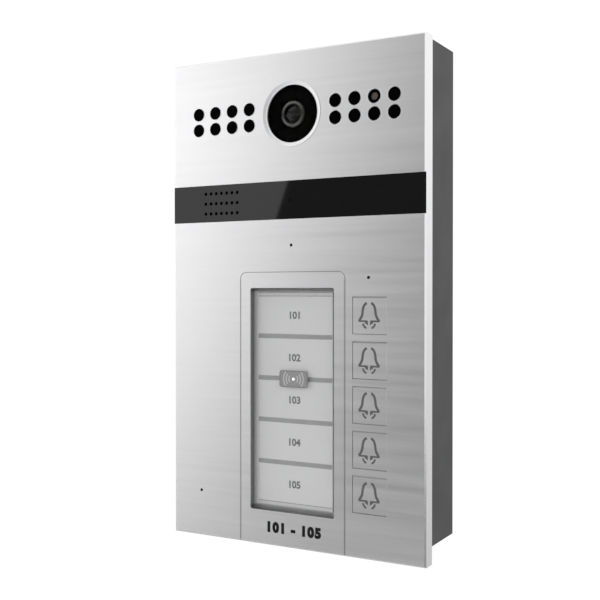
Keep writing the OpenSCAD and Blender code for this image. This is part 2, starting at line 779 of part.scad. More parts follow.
module rear_cover() color("#2e3033") difference() {
    union() {
        block([-flange_w / 2, flange_y, flange_bottom], [flange_w / 2, flange_y + flange_t, flange_top]);
        block([-tub_w / 2, flange_y, tub_bottom], [tub_w / 2, tub_back, tub_top]);
        for (x = hook_xs) cover_hook(x);
    }
    difference() {
        block([-inner_w / 2, flange_y - 1, inner_bottom], [inner_w / 2, tub_back - tub_wall, inner_top]);
        for (p = posts_at) bar(p[0], p[1], post_d, main_board_y + board_t, tub_back);
    }
    slab(0, bay_z, bay_w, bay_h, tub_back - tub_wall - 1, tub_back + 1);
    for (p = posts_at)
        bar(p[0], p[1], board_screw_d + 2 * screw_gap, main_board_y, main_board_y + board_t + 3.2);
    for (p = cover_screws_at)
        bar(p[0], p[1], cover_screw_d + 2 * screw_gap, flange_y - 1, flange_y + flange_t + 1);
    for (x = tab_xs)
        block([x - tab_w / 2 - fit_gap, flange_y - 1, flange_bottom - 1],
              [x + tab_w / 2 + fit_gap, flange_y + flange_t + 1, tab_top + fit_gap]);
}

// A hook on top of the rear cover, behind a ledge in the box
module cover_hook(x) block(
    [x - hook_w / 2, hook_y, tub_top - e], [x + hook_w / 2, hook_y + hook_t, tub_top + hook_rise]);

module cover_screws() color("silver") for (p = cover_screws_at) difference() {
    union() {
        bar(p[0], p[1], cover_head_d, flange_y + flange_t, flange_y + flange_t + cover_head_h);
        bar(p[0], p[1], cover_screw_d, face_y + 1.4, flange_y + flange_t + e);
    }
    bar(p[0], p[1], 1.4, flange_y + flange_t + 0.5, flange_y + flange_t + cover_head_h + 1);
}

module main_gasket() color("#1c1c1c") {
    y0 = flange_y + flange_t;
    difference() {
        block([-flange_w / 2, y0, box_bottom], [flange_w / 2, rim_y, flange_top]);
        block([-flange_w / 2 + gasket_w, y0 - 1, box_bottom + box_wall + 0.2],
              [flange_w / 2 - gasket_w, rim_y + 1, flange_top - gasket_w]);
    }
}

module back_box() color("#3c3e42") difference() {
    union() {
        difference() {
            block([-box_w / 2, rim_y, box_bottom], [box_w / 2, 0, box_top]);
            block([-box_w / 2 + box_wall, rim_y - 1, box_bottom + box_wall],
                  [box_w / 2 - box_wall, -box_floor, box_top - box_wall]);
        }
        for (x = hook_xs) box_ledge(x);
        for (x = tab_xs) box_tab(x);
    }
    wall_pockets();
    knockout(0, box_top);
    knockout(0, box_bottom);
    for (x = drain_xs) translate([x, -box_floor - drain_d, box_bottom - 1])
        cylinder(d = drain_d, h = box_wall + 2, $fn = 48);
    for (x = [-1, 1], z = [-1, 1])
        bar(x * screw_pitch_x / 2, z * screw_pitch_z / 2, wall_hole_d, -box_floor - 1, 1);
    bar(0, cable_z, cable_d + 2 * grommet_wall, -box_floor - 1, 1);
    for (x = tab_xs) translate([x, bottom_screw_y, tab_bottom - 1])
        cylinder(d = bottom_screw_d + 2 * screw_gap, h = tab_top - tab_bottom + 2, $fn = 48);
}

// Shallow pockets on the wall side, which leave a border, ribs, and pads round the holes
module wall_pockets() {
    w = (box_w - 2 * back_border - back_rib) / 2;
    pitch = (box_h - 2 * back_border + back_rib) / pocket_rows;
    difference() {
        for (side = [-1, 1], row = [0:pocket_rows - 1])
            slab(side * (back_rib + w) / 2, (row - (pocket_rows - 1) / 2) * pitch, w, pitch - back_rib,
                 -pocket_depth, 1);
        for (x = [-1, 1], z = [-1, 1])
            bar(x * screw_pitch_x / 2, z * screw_pitch_z / 2, pad_d, -pocket_depth - 1, 2);
        bar(0, cable_z, grommet_pad_d, -pocket_depth - 1, 2);
    }
}

// A round groove in the outer face of the top or bottom wall, to be pushed out for a cable
module knockout(x, z) translate([x, -(box_floor + knockout_d / 2 + 2), z]) difference() {
    translate([0, 0, -knockout_groove]) cylinder(d = knockout_d, h = 2 * knockout_groove, $fn = 64);
    translate([0, 0, -2 * knockout_groove])
        cylinder(d = knockout_d - 2 * knockout_groove, h = 4 * knockout_groove, $fn = 64);
}

// A ledge inside the top of the box, which a hook of the rear cover catches
module box_ledge(x) block([x - hook_w / 2, hook_y - 2.6, box_top - box_wall - 4],
                          [x + hook_w / 2, hook_y - 0.4, box_top - box_wall + e]);

// A tab below the box that takes a screw from below
module box_tab(x) {
    block([x - tab_w / 2, skin_y + 0.5, tab_bottom], [x + tab_w / 2, rim_y + 6, tab_top]);
    block([x - tab_w / 2, rim_y + e, tab_top - e], [x + tab_w / 2, rim_y + 6, box_bottom + e]);
}

module cable_grommet() color("#181818") spin(0, cable_z) {
    bore = cable_d / 2;
    outer = bore + grommet_wall;
    polygon([
        [bore, -box_floor - grommet_lip_t], [outer + grommet_lip, -box_floor - grommet_lip_t],
        [outer + grommet_lip, -box_floor], [outer, -box_floor], [outer, -0.2], [bore, -0.2]
    ]);
}

faceplate();
band_panel();
camera_bezel();
camera_window();
camera_baffle();
lens_barrel();
camera_lens();
lens_holder();
ir_cut_filter();
image_sensor();
camera_board();
left_ir_window();
right_ir_window();
light_sensor();
ir_leds();
led_boards();
speaker_gasket();
speaker_basket();
speaker_cone();
speaker_magnet();
status_light();
mic_boots();
microphones();
name_frame();
window_pane();
reader_badge();
frame_screw();
name_cards();
light_seal();
card_tray();
backlight_diffuser();
backlight_leds();
backlight_board();
reader_antenna();
call_button_1();
call_button_2();
call_button_3();
call_button_4();
call_button_5();
switch_plunger_1();
switch_plunger_2();
switch_plunger_3();
switch_plunger_4();
switch_plunger_5();
call_switches();
key_board();
main_board();
processor();
relay();
capacitors();
power_terminal();
network_terminal();
board_screws();
rear_cover();
cover_screws();
main_gasket();
back_box();
cable_grommet();
lock_screws();
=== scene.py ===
# %% [markdown]
# # A door intercom panel
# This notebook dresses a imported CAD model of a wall-mounted door panel: a brushed aluminium face on a dark
# box, with a camera, night lights, a gloss black band, a name window and five call keys. The CAD model is
# the fixed frame. Everything here is a finish on a CAD piece, or a thin extra piece that rides on a CAD
# body. Lengths are in metres, X is to the right, +Y goes into the wall and +Z is up.

# %% Load the frame
import math

import bmesh
import bpy
from mathutils import Matrix, Vector


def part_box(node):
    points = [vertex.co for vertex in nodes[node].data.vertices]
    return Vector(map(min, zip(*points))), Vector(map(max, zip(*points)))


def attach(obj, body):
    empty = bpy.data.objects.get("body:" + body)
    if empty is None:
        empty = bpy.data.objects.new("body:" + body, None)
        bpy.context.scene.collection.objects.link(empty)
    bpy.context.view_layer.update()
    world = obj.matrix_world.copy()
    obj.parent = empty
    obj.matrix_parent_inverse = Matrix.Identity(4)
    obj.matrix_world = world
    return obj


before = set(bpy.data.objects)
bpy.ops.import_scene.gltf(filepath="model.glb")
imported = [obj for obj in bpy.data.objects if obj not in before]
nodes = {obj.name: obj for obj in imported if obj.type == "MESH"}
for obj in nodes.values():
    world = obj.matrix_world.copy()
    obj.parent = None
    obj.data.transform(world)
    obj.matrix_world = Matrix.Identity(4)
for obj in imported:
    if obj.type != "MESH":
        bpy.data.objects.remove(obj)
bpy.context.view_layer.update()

MM = 0.001


def show(thing):
    """Puts an object into the scene."""
    bpy.context.scene.collection.objects.link(thing)
    return thing


# %% [markdown]
# ## The camera
# A product shot of a flat object is taken from one side with a longish lens, so that its verticals stay
# upright. The camera stands to the right of the panel at the height of its middle, and looks almost level.

# %% Camera
CAMERA_AT = Vector((0.21311, -0.40754, 0.00094))
CAMERA_YAW = math.radians(29.236)
CAMERA_DOWN = math.radians(0.527)
LENS_MM = 57.006


def make_camera():
    """A camera with a long lens. The render looks through it."""
    data = bpy.data.cameras.new("main_camera")
    data.lens = LENS_MM
    data.sensor_width = 36
    data.clip_start = 0.01
    data.clip_end = 50
    camera = show(bpy.data.objects.new("main_camera", data))
    camera.location = CAMERA_AT
    camera.rotation_euler = (math.pi / 2 - CAMERA_DOWN, 0, CAMERA_YAW)
    bpy.context.scene.camera = camera
    return camera


camera = make_camera()
sight = camera.rotation_euler.to_matrix() @ Vector((0, 0, -1))
print("camera looks along", tuple(round(x, 3) for x in sight))

# %% [markdown]
# ## The studio
# Brushed metal shows its surroundings as a soft gradient, and gloss plastic shows them sharply. One tall
# softbox at the front left gives both: the metal fades from left to right, and the black band shows the
# softbox's tilted edge. A card below lights what looks down, and a weak softbox at the right lifts the
# shaded sides. The room in front of the panel stays dim, and the room behind it is white. The floor and
# the sky look plain white to the camera, and a Light Path node keeps that white out of the reflections.

# %% Floor
FLOOR_Z = -0.32
BACKDROP_WHITE = 1.02


def make_floor():
    """A white floor that the camera sees and the panel doesn't."""
    mesh = bpy.data.meshes.new("floor")
    size = 12
    corners = [(-size, -size), (size, -size), (size, size), (-size, size)]
    mesh.from_pydata([(x, y, FLOOR_Z) for x, y in corners], [], [(0, 1, 2, 3)])
    floor = show(bpy.data.objects.new("floor", mesh))
    floor.visible_diffuse = False
    floor.visible_glossy = False
    floor.visible_transmission = False
    floor.visible_shadow = False
    material = bpy.data.materials.new("pale_floor")
    material.use_nodes = True
    tree = material.node_tree
    tree.nodes.clear()
    glow = tree.nodes.new("ShaderNodeEmission")
    glow.inputs["Color"].default_value = (1, 1, 1, 1)
    glow.inputs["Strength"].default_value = BACKDROP_WHITE
    out = tree.nodes.new("ShaderNodeOutputMaterial")
    tree.links.new(glow.outputs[0], out.inputs["Surface"])
    mesh.materials.append(material)
    return floor


make_floor()
print("floor at", FLOOR_Z)

# %% Softboxes


def make_softbox(name, azimuth, elevation, far, width, height, glow, tilt=0.0):
    """A rectangular light that faces the panel. Azimuth 0 is straight in front, 90 is to the panel's left.
    Its power follows from how bright its face is to look: power = brightness x pi x area."""
    data = bpy.data.lights.new(name, "AREA")
    data.shape = "RECTANGLE"
    data.size = width
    data.size_y = height
    data.energy = glow * math.pi * width * height
    light = show(bpy.data.objects.new(name, data))
    side, rise = math.radians(azimuth), math.radians(elevation)
    toward = Vector((-math.sin(side) * math.cos(rise), -math.cos(side) * math.cos(rise), math.sin(rise)))
    light.location = toward * far
    facing = toward.to_track_quat("Z", "Y").to_matrix() @ Matrix.Rotation(math.radians(tilt), 3, "Z")
    light.rotation_euler = facing.to_euler()
    return light


make_softbox("left_softbox", azimuth=55, elevation=12, far=1.6, width=1.51, height=1.9, glow=1.28,
             tilt=-13.6)
make_softbox("low_card", azimuth=0, elevation=-44, far=1.3, width=1.2, height=0.7, glow=0.92)
make_softbox("right_softbox", azimuth=-58, elevation=15, far=1.6, width=0.9, height=1.6, glow=0.62)

# %% World
FRONT_GLOW = 0.19
BACK_GLOW = 1.0
LOW_GLOW = 0.58
DEPTH_FADE = (-0.75, 0.35)
HEIGHT_FADE = (-0.35, 0.30)


def remap(tree, value, low, high, start=0.25, stop=0.75, kind="LINEAR"):
    """Goes from low to high as a value goes from start to stop. A noise mostly stays in 0.25 to 0.75."""
    node = tree.nodes.new("ShaderNodeMapRange")
    node.interpolation_type = kind
    for socket, number in zip(("From Min", "From Max", "To Min", "To Max"), (start, stop, low, high)):
        node.inputs[socket].default_value = number
    tree.links.new(value, node.inputs["Value"])
    return node.outputs["Result"]


def split_axes(tree, vector):
    """The X, Y and Z of a vector."""
    node = tree.nodes.new("ShaderNodeSeparateXYZ")
    tree.links.new(vector, node.inputs[0])
    return node.outputs


def feed(tree, socket, value):
    """Links a socket, or sets a colour or a number."""
    if isinstance(value, bpy.types.NodeSocket):
        tree.links.new(value, socket)
    else:
        socket.default_value = (*value, 1) if isinstance(value, tuple) else value


def calculate(tree, operation, *values):
    """One step of arithmetic on numbers or sockets."""
    node = tree.nodes.new("ShaderNodeMath")
    node.operation = operation
    for socket, value in zip(node.inputs, values):
        feed(tree, socket, value)
    return node.outputs[0]


def make_background(tree, strength):
    """White light from all round."""
    node = tree.nodes.new("ShaderNodeBackground")
    node.inputs["Color"].default_value = (1, 1, 1, 1)
    feed(tree, node.inputs["Strength"], strength)
    return node


def make_world():
    """White behind and beside the panel, dim in front of it, and darker low down."""
    world = bpy.data.worlds.new("studio")
    bpy.context.scene.world = world
    world.use_nodes = True
    tree = world.node_tree
    tree.nodes.clear()
    link = tree.links.new
    coords = tree.nodes.new("ShaderNodeTexCoord")
    axes = split_axes(tree, coords.outputs["Generated"])
    depth = remap(tree, axes["Y"], FRONT_GLOW, BACK_GLOW, *DEPTH_FADE, "SMOOTHSTEP")
    height = remap(tree, axes["Z"], LOW_GLOW, 1.0, *HEIGHT_FADE, "SMOOTHSTEP")
    room = make_background(tree, calculate(tree, "MULTIPLY", depth, height))
    white = make_background(tree, BACKDROP_WHITE)
    path = tree.nodes.new("ShaderNodeLightPath")
    mix = tree.nodes.new("ShaderNodeMixShader")
    link(path.outputs["Is Camera Ray"], mix.inputs[0])
    link(room.outputs[0], mix.inputs[1])
    link(white.outputs[0], mix.inputs[2])
    out = tree.nodes.new("ShaderNodeOutputWorld")
    link(mix.outputs[0], out.inputs["Surface"])


make_world()
bpy.context.scene.view_settings.view_transform = "Standard"
print("room glow: front", FRONT_GLOW, "back", BACK_GLOW, "low", LOW_GLOW)

# %% [markdown]
# ## Material helpers
# Each finish is a small node graph. These helpers keep the graphs short: one starts a material, one gives
# coordinates in the object's own space, and the others add a noise, a blend, a mask or a bump, or link a
# pattern to the shader's colour or roughness. Object coordinates are used throughout, because every piece
# sits at the origin with its place in its mesh, so a pattern keeps its scale in metres on every piece.

# %% Helpers


def start_material(name, colour, rough=0.5, metal=0.0, **sockets):
    """A plain material. Returns it with its node tree and its shader."""
    material = bpy.data.materials.new(name)
    material.use_nodes = True
    tree = material.node_tree
    shader = tree.nodes["Principled BSDF"]
    shader.inputs["Base Color"].default_value = (*colour, 1)
    shader.inputs["Roughness"].default_value = rough
    shader.inputs["Metallic"].default_value = metal
    for socket, value in sockets.items():
        shader.inputs[socket.replace("_", " ")].default_value = value
    return material, tree, shader


def place(tree, scale=(1, 1, 1), shift=(0, 0, 0)):
    """The object's own coordinates, moved and then stretched."""
    coords = tree.nodes.new("ShaderNodeTexCoord")
    mapping = tree.nodes.new("ShaderNodeMapping")
    mapping.inputs["Scale"].default_value = scale
    mapping.inputs["Location"].default_value = [-move * grow for move, grow in zip(shift, scale)]
    tree.links.new(coords.outputs["Object"], mapping.inputs["Vector"])
    return mapping.outputs["Vector"]


def noise(tree, vector, scale=1.0, detail=3.0, rough=0.5):
    """A cloudy value from 0 to 1."""
    node = tree.nodes.new("ShaderNodeTexNoise")
    node.inputs["Scale"].default_value = scale
    node.inputs["Detail"].default_value = detail
    node.inputs["Roughness"].default_value = rough
    tree.links.new(vector, node.inputs["Vector"])
    return node.outputs["Fac"]


def blend(tree, value, first, second, kind="FLOAT"):
    """Goes from the first number or colour to the second with a value from 0 to 1."""
    node = tree.nodes.new("ShaderNodeMix")
    node.data_type = kind
    for name, end in (("Factor", value), ("A", first), ("B", second)):
        feed(tree, node.inputs[name], end)
    return node.outputs["Result"]


def shade(tree, value, dark, light):
    """Goes from one colour to another with a value from 0 to 1."""
    return blend(tree, value, dark, light, "RGBA")


def paint(tree, shader, value, dark, light):
    """Colours a shader from dark to light with a value from 0 to 1."""
    tree.links.new(shade(tree, value, dark, light), shader.inputs["Base Color"])


def polish(tree, shader, pattern, low, high):
    """Lets a noise vary a shader's roughness from low to high."""
    tree.links.new(remap(tree, pattern, low, high), shader.inputs["Roughness"])


def outside(tree, low, high, squeeze=1.0):
    """How far a point lies outside an upright rectangle, in metres. Inside it the value is negative.
    Distances across count squeeze times as much as distances up."""
    axes = split_axes(tree, place(tree, shift=(low + high) / 2))
    half = (high - low) / 2
    across = calculate(tree, "SUBTRACT", calculate(tree, "ABSOLUTE", axes["X"]), half.x)
    along = calculate(tree, "SUBTRACT", calculate(tree, "ABSOLUTE", axes["Z"]), half.z)
    return calculate(tree, "MAXIMUM", calculate(tree, "MULTIPLY", across, squeeze), along)


def reach_from(tree, centre):
    """The distance from an axis that runs along Y through a centre."""
    node = tree.nodes.new("ShaderNodeVectorMath")
    node.operation = "LENGTH"
    tree.links.new(place(tree, (1, 0, 1), centre), node.inputs[0])
    return node.outputs["Value"]


def add_bump(tree, shader, height, strength, microns):
    """Gives a shader a relief that is so many thousandths of a millimetre deep."""
    node = tree.nodes.new("ShaderNodeBump")
    node.inputs["Strength"].default_value = strength
    node.inputs["Distance"].default_value = microns * MM / 1000
    tree.links.new(height, node.inputs["Height"])
    tree.links.new(node.outputs["Normal"], shader.inputs["Normal"])
    return node


def feed_vector(mix, name):
    """The vector input of a mix node that has this name."""
    return next(socket for socket in mix.inputs if socket.name == name and socket.type == "VECTOR")


def tint(colour, factor):
    """A colour made darker or lighter."""
    return tuple(min(1.0, part * factor) for part in colour)


def dress(material, *names):
    """Gives CAD nodes a material."""
    for name in names:
        mesh = nodes[name].data
        mesh.materials.clear()
        mesh.materials.append(material)


def each(name, count=5):
    """The names of a row of CAD nodes."""
    return [f"{name}_{i}" for i in range(1, count + 1)]


def middle_of(box):
    """The middle of a box, given as its two corners."""
    return (box[0] + box[1]) / 2


print("keys:", each("call_button"))

# %% [markdown]
# ### Brushed aluminium
# The faceplate, the name frame and the keys are brushed from side to side and anodised. The belt leaves
# fine lines that run along X, so a noise is squeezed in Z and stretched in X. Broad streaks change the
# colour and the shine a little, and hair lines change the bump. Anisotropy then spreads each highlight
# across the lines, as real brushing does, which a plain roughness can't. The plate's outer edge is cut
# after brushing, so it is smoother: how far a point lies outside the plate's flat face picks out that edge.
# Two more masks darken the metal with painted shade: one along the upright edges beside the name frame,
# and one on the walls of the openings.

# %% Brushed aluminium
BROAD_STREAK = (9, 100, 420)
HAIR_LINE = (40, 900, 5200)
CHAMFER = 0.7 * MM
CUT_BLUR = 0.05 * MM
# The painted shade beside the name frame's upright edges: its spread, its tint and where it fades out.
EDGE_SHADE_SPREAD = 0.9 * MM
EDGE_SHADE_TINT = 0.78
EDGE_SHADE_STOP = (4 * MM, 2 * MM)
# The painted shade on the walls of the openings: its tint and the depths over which it sets in.
WALL_SHADE_TINT = 0.45
WALL_DEPTH = (0.1 * MM, 0.3 * MM)


def front_box(name):
    """The box round the corners of a node's front face."""
    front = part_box(name)[0].y + 0.01 * MM
    corners = [v.co for v in nodes[name].data.vertices if v.co.y < front]
    return [Vector([pick(c[k] for c in corners) for k in range(3)]) for pick in (min, max)]


def beside_frame(tree):
    """1 on the name frame's upright edges and the plate beside them, fading to 0 over the spread. It masks
    painted shade.
    """
    high = front_box("name_frame")[1]
    axes = split_axes(tree, place(tree))
    across = calculate(tree, "SUBTRACT", calculate(tree, "ABSOLUTE", axes["X"]), high.x)
    fade = remap(tree, calculate(tree, "ABSOLUTE", across), 1, 0, 0, EDGE_SHADE_SPREAD)
    below = remap(tree, axes["Z"], 1, 0, high.z - EDGE_SHADE_STOP[0], high.z - EDGE_SHADE_STOP[1])
    return calculate(tree, "MULTIPLY", fade, below)


def below_face(tree):
    """1 on the walls of the openings, which lie below the front face. It masks painted shade."""
    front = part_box("faceplate")[0].y
    depth = split_axes(tree, place(tree))["Y"]
    return remap(tree, depth, 0, 1, front + WALL_DEPTH[0], front + WALL_DEPTH[1])


def brushed_aluminium(name, colour, rough, cut_colour, cut_rough, streak=0.05, dip=0.93, lines=0.25):
    """Metal brushed along X, with a cut edge of another colour and roughness."""
    material, tree, shader = start_material(name, colour, rough, 1.0, Anisotropic=0.35,
                                            Anisotropic_Rotation=0.25)
    broad = noise(tree, place(tree, BROAD_STREAK), 1.0, 4.0, 0.65)
    hair = noise(tree, place(tree, HAIR_LINE), 1.0, 2.0, 0.5)
    beyond = outside(tree, *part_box("faceplate"))
    cut = remap(tree, beyond, 0, 1, -CHAMFER - CUT_BLUR, -CHAMFER + CUT_BLUR)
    streaks = remap(tree, broad, rough - streak, rough + streak)
    tree.links.new(blend(tree, cut, streaks, cut_rough), shader.inputs["Roughness"])
    brushed = shade(tree, remap(tree, broad, 0, 1), tint(colour, dip), colour)
    # Painted shade: the metal is darkened beside the name frame's upright edges.
    edge_shaded = shade(tree, beside_frame(tree), brushed, tint(colour, EDGE_SHADE_TINT))
    # Painted shade: the walls of the openings are darkened.
    walls = shade(tree, below_face(tree), edge_shaded, tint(colour, WALL_SHADE_TINT))
    paint(tree, shader, cut, walls, cut_colour)
    add_bump(tree, shader, hair, lines, 20)
    return material


plate_metal = brushed_aluminium("brushed_aluminium", (0.90, 0.90, 0.91), 0.40, (0.90, 0.90, 0.91), 0.2)
dress(plate_metal, "faceplate", "name_frame", *each("call_button"))
print("brushed pieces:", sum(o.data.materials[:1] == [plate_metal] for o in nodes.values()))

# %% [markdown]
# ### Turned metal
# The camera's bezel is turned on a lathe, so its fine grooves are circles about the camera's axis. The
# distance from that axis drives a noise, which gives the same value all round each circle. The bezel's face
# is a very shallow dish, so its shading direction is mixed with the straight front direction, which keeps
# the shading across it gentle.

# %% Turned metal


def turned_metal(name, centre, colour, rough, pitch=9000, flatten=0.0):
    """Metal with fine circles about a centre. Flatten mixes its shading direction with straight ahead."""
    material, tree, shader = start_material(name, colour, rough, 1.0)
    rings = tree.nodes.new("ShaderNodeTexNoise")
    rings.noise_dimensions = "1D"
    rings.inputs["Scale"].default_value = pitch
    rings.inputs["Detail"].default_value = 2.0
    tree.links.new(reach_from(tree, centre), rings.inputs["W"])
    grooves = rings.outputs["Fac"]
    polish(tree, shader, grooves, rough - 0.05, rough + 0.05)
    paint(tree, shader, grooves, tint(colour, 0.94), colour)
    bump = add_bump(tree, shader, grooves, 0.15, 10)
    facing = tree.nodes.new("ShaderNodeMix")
    facing.data_type = "VECTOR"
    facing.inputs["Factor"].default_value = flatten
    tree.links.new(tree.nodes.new("ShaderNodeNewGeometry").outputs["Normal"], feed_vector(facing, "A"))
    feed_vector(facing, "B").default_value = (0, -1, 0)
    tree.links.new(next(o for o in facing.outputs if o.type == "VECTOR"), bump.inputs["Normal"])
    return material


camera_centre = middle_of(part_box("camera_bezel"))
dress(turned_metal("turned_aluminium", camera_centre, (0.97, 0.97, 0.98), 0.40, flatten=0.86),
      "camera_bezel")
steel = turned_metal("turned_steel", Vector((0, 0, 0)), (0.58, 0.58, 0.60), 0.30, 4000)
dress(steel, "frame_screw", "lock_screws", "cover_screws", "board_screws")
print("camera centre:", [round(c, 5) for c in camera_centre])

# %% [markdown]
# ### Moulded plastics and rubbers
# A mould's spark-eroded skin gives plastic a fine grain. One function makes them all: a fine noise for the
# grain in colour and bump, and a broad one that lets the shine wander. Gloss parts get almost no grain,
# rubber a coarse one.

# %% Plastics


def moulded(name, colour, rough=0.5, grain=900, microns=10, lift=1.15, **sockets):
    """Plastic or rubber. The grain is how fine its skin is, and the microns are how deep."""
    material, tree, shader = start_material(name, colour, rough, 0.0, **sockets)
    fine = noise(tree, place(tree), grain, 3.0, 0.6)
    broad = noise(tree, place(tree), grain / 30, 2.0, 0.5)
    polish(tree, shader, broad, rough * 0.9, rough * 1.1)
    lighter = tuple(min(1, part * lift + 0.002) for part in colour)
    paint(tree, shader, remap(tree, fine, 0, 1), colour, lighter)
    add_bump(tree, shader, fine, 0.3, microns)
    return material


dress(moulded("gloss_black", (0.0055, 0.0055, 0.006), 0.03, 200, 0.1, 1.0, Specular_IOR_Level=0.41),
      "band_panel")
dress(moulded("infrared_acrylic", (0.0006, 0.0006, 0.0008), 0.5, 400, 2, 1.0, Specular_IOR_Level=0.01),
      "left_ir_window", "right_ir_window")
dress(moulded("matte_black", (0.0012, 0.0012, 0.0012), 0.7, 1500, 10, 1.0, Specular_IOR_Level=0.03),
      "camera_baffle", "lens_holder")
dress(moulded("anodised_black", (0.012, 0.012, 0.013), 0.42, 2500), "lens_barrel")
dress(moulded("box_grey", (0.072, 0.073, 0.075), 0.62, 1800, 40), "back_box")
dress(moulded("cover_black", (0.028, 0.029, 0.032), 0.55, 1400, 30), "rear_cover")
dress(moulded("chip_epoxy", (0.02, 0.02, 0.023), 0.5, 2200), "image_sensor", "call_switches", "processor")
dress(moulded("black_rubber", (0.015, 0.015, 0.015), 0.8, 700, 30), "mic_boots", "main_gasket",
      "cable_grommet")
dress(moulded("led_resin", (0.015, 0.013, 0.02), 0.15, 300, 1), "ir_leds")
dress(moulded("status_black", (0.002, 0.002, 0.0022), 0.4, 600, 1, 1.0, Specular_IOR_Level=0.1),
      "status_light")
dress(moulded("sensor_resin", (0.13, 0.095, 0.082), 0.35, 600), "light_sensor")
dress(moulded("badge_grey", (0.43, 0.43, 0.43), 0.5, 1200), "reader_badge")
# The tray's faint emission is partly its backlight and partly painted light in its shaded recess.
dress(moulded("tray_white", (0.80, 0.80, 0.80), 0.6, 1000, Emission_Strength=0.07), "card_tray")
dress(moulded("milky_diffuser", (0.75, 0.75, 0.74), 0.4, 500, Subsurface_Weight=0.2), "backlight_diffuser")
dress(moulded("plunger_ivory", (0.70, 0.66, 0.54), 0.45, 800), *each("switch_plunger"))
dress(moulded("relay_blue", (0.03, 0.11, 0.32), 0.4, 1200), "relay")
dress(moulded("terminal_green", (0.025, 0.22, 0.09), 0.45, 1200), "power_terminal", "network_terminal")
dress(moulded("phosphor_yellow", (0.80, 0.70, 0.25), 0.35, 900), "backlight_leds")
print("materials so far:", len(bpy.data.materials))

# %% [markdown]
# ### Paper, foam and boards
# Card stock has long soft fibres, so its noise is stretched one way. Foam is a crowd of cells, which is
# what a Voronoi texture draws. The foam seal round the backlit tray has a faint painted glow next to the
# tray, which stands in for the backlight's spill. A circuit board's solder mask shows its copper tracks as
# slightly lighter lines, drawn here by a brick texture with long thin bricks.

# %% Paper, foam and boards


def paper(name, colour, rough=0.75, **sockets):
    """Card or pulp with long soft fibres."""
    material, tree, shader = start_material(name, colour, rough, 0.0, Specular_IOR_Level=0.3, **sockets)
    fibres = noise(tree, place(tree, (900, 900, 3600)), 1.0, 4.0, 0.7)
    paint(tree, shader, remap(tree, fibres, 0, 1), tint(colour, 0.96), colour)
    polish(tree, shader, fibres, rough - 0.06, rough + 0.06)
    add_bump(tree, shader, fibres, 0.2, 10)
    return material


def foam(name, colour, cell=2600):
    """A crowd of small cells."""
    material, tree, shader = start_material(name, colour, 0.95, 0.0, Specular_IOR_Level=0.2)
    cells = tree.nodes.new("ShaderNodeTexVoronoi")
    cells.inputs["Scale"].default_value = cell
    tree.links.new(place(tree), cells.inputs["Vector"])
    paint(tree, shader, cells.outputs["Distance"], tint(colour, 0.8), tint(colour, 1.15))
    add_bump(tree, shader, cells.outputs["Distance"], 0.4, 50)
    return material


def lit_foam(name, colour, inner, spread, squeeze, glow):
    """Foam with a painted glow beside a backlit rectangle, less and less over the spread."""
    material = foam(name, colour)
    tree = material.node_tree
    shader = tree.nodes["Principled BSDF"]
    fade = remap(tree, outside(tree, *inner, squeeze), 1, 0, 0, spread)
    shader.inputs["Emission Color"].default_value = (*colour, 1)
    tree.links.new(calculate(tree, "MULTIPLY", fade, glow), shader.inputs["Emission Strength"])
    return material


def circuit_board(name, mask, track):
    """A solder mask with tracks under it."""
    material, tree, shader = start_material(name, mask, 0.35, 0.0, Coat_Weight=0.3, Coat_Roughness=0.2)
    lanes = tree.nodes.new("ShaderNodeTexBrick")
    for socket, value in (("Scale", 500), ("Mortar Size", 0.08), ("Brick Width", 4.0), ("Row Height", 0.5),
                          ("Color1", mask), ("Color2", tint(mask, 1.25)), ("Mortar", track)):
        feed(tree, lanes.inputs[socket], value)
    turn = tree.nodes.new("ShaderNodeVectorRotate")
    turn.rotation_type = "X_AXIS"
    turn.inputs["Angle"].default_value = math.radians(90)
    tree.links.new(place(tree), turn.inputs["Vector"])
    tree.links.new(turn.outputs["Vector"], lanes.inputs["Vector"])
    tree.links.new(lanes.outputs["Color"], shader.inputs["Base Color"])
    add_bump(tree, shader, lanes.outputs["Fac"], 0.3, 30)
    return material


# The cards' faint emission is partly their backlight and partly painted light that brightens them in their
# shaded recess.
dress(paper("card_paper", (0.86, 0.86, 0.86), Emission_Strength=0.13), "name_cards")
dress(paper("speaker_pulp", (0.035, 0.034, 0.036), 0.9), "speaker_cone")
# The seal's glow is painted light, standing in for the backlight's spill.
dress(lit_foam("seal_foam", (0.47, 0.47, 0.47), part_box("card_tray"), spread=0.9 * MM, squeeze=0.4,
               glow=0.38), "light_seal")
dress(foam("gasket_foam", (0.03, 0.03, 0.03)), "speaker_gasket")
boards = circuit_board("circuit_board", (0.005, 0.035, 0.018), (0.012, 0.075, 0.038))
dress(boards, "camera_board", "led_boards", "backlight_board", "key_board", "main_board")
print("boards:", boards.name)

# %% [markdown]
# ### Small metals and glass
# Stamped steel, sintered ferrite, copper track and plated cans are seen only when the panel is open, yet
# each has its own colour and grain. The panes are real glass: their tint and gloss sit on the shader's own
# sockets, and a faint haze varies the roughness.

# %% Small metals and glass


def plain_metal(name, colour, rough, grain=1500):
    """Metal with small spots."""
    material, tree, shader = start_material(name, colour, rough, 1.0)
    spots = noise(tree, place(tree), grain, 4.0, 0.6)
    polish(tree, shader, spots, rough - 0.08, rough + 0.08)
    paint(tree, shader, remap(tree, spots, 0, 1), tint(colour, 0.85), colour)
    add_bump(tree, shader, spots, 0.15, 10)
    return material


def clear_glass(name, colour, rough=0.02, **sockets):
    """Glass with a faint haze."""
    material, tree, shader = start_material(name, colour, rough, 0.0, Transmission_Weight=1.0, **sockets)
    haze = noise(tree, place(tree), 60, 2.0, 0.5)
    polish(tree, shader, haze, rough, rough + 0.02)
    return material


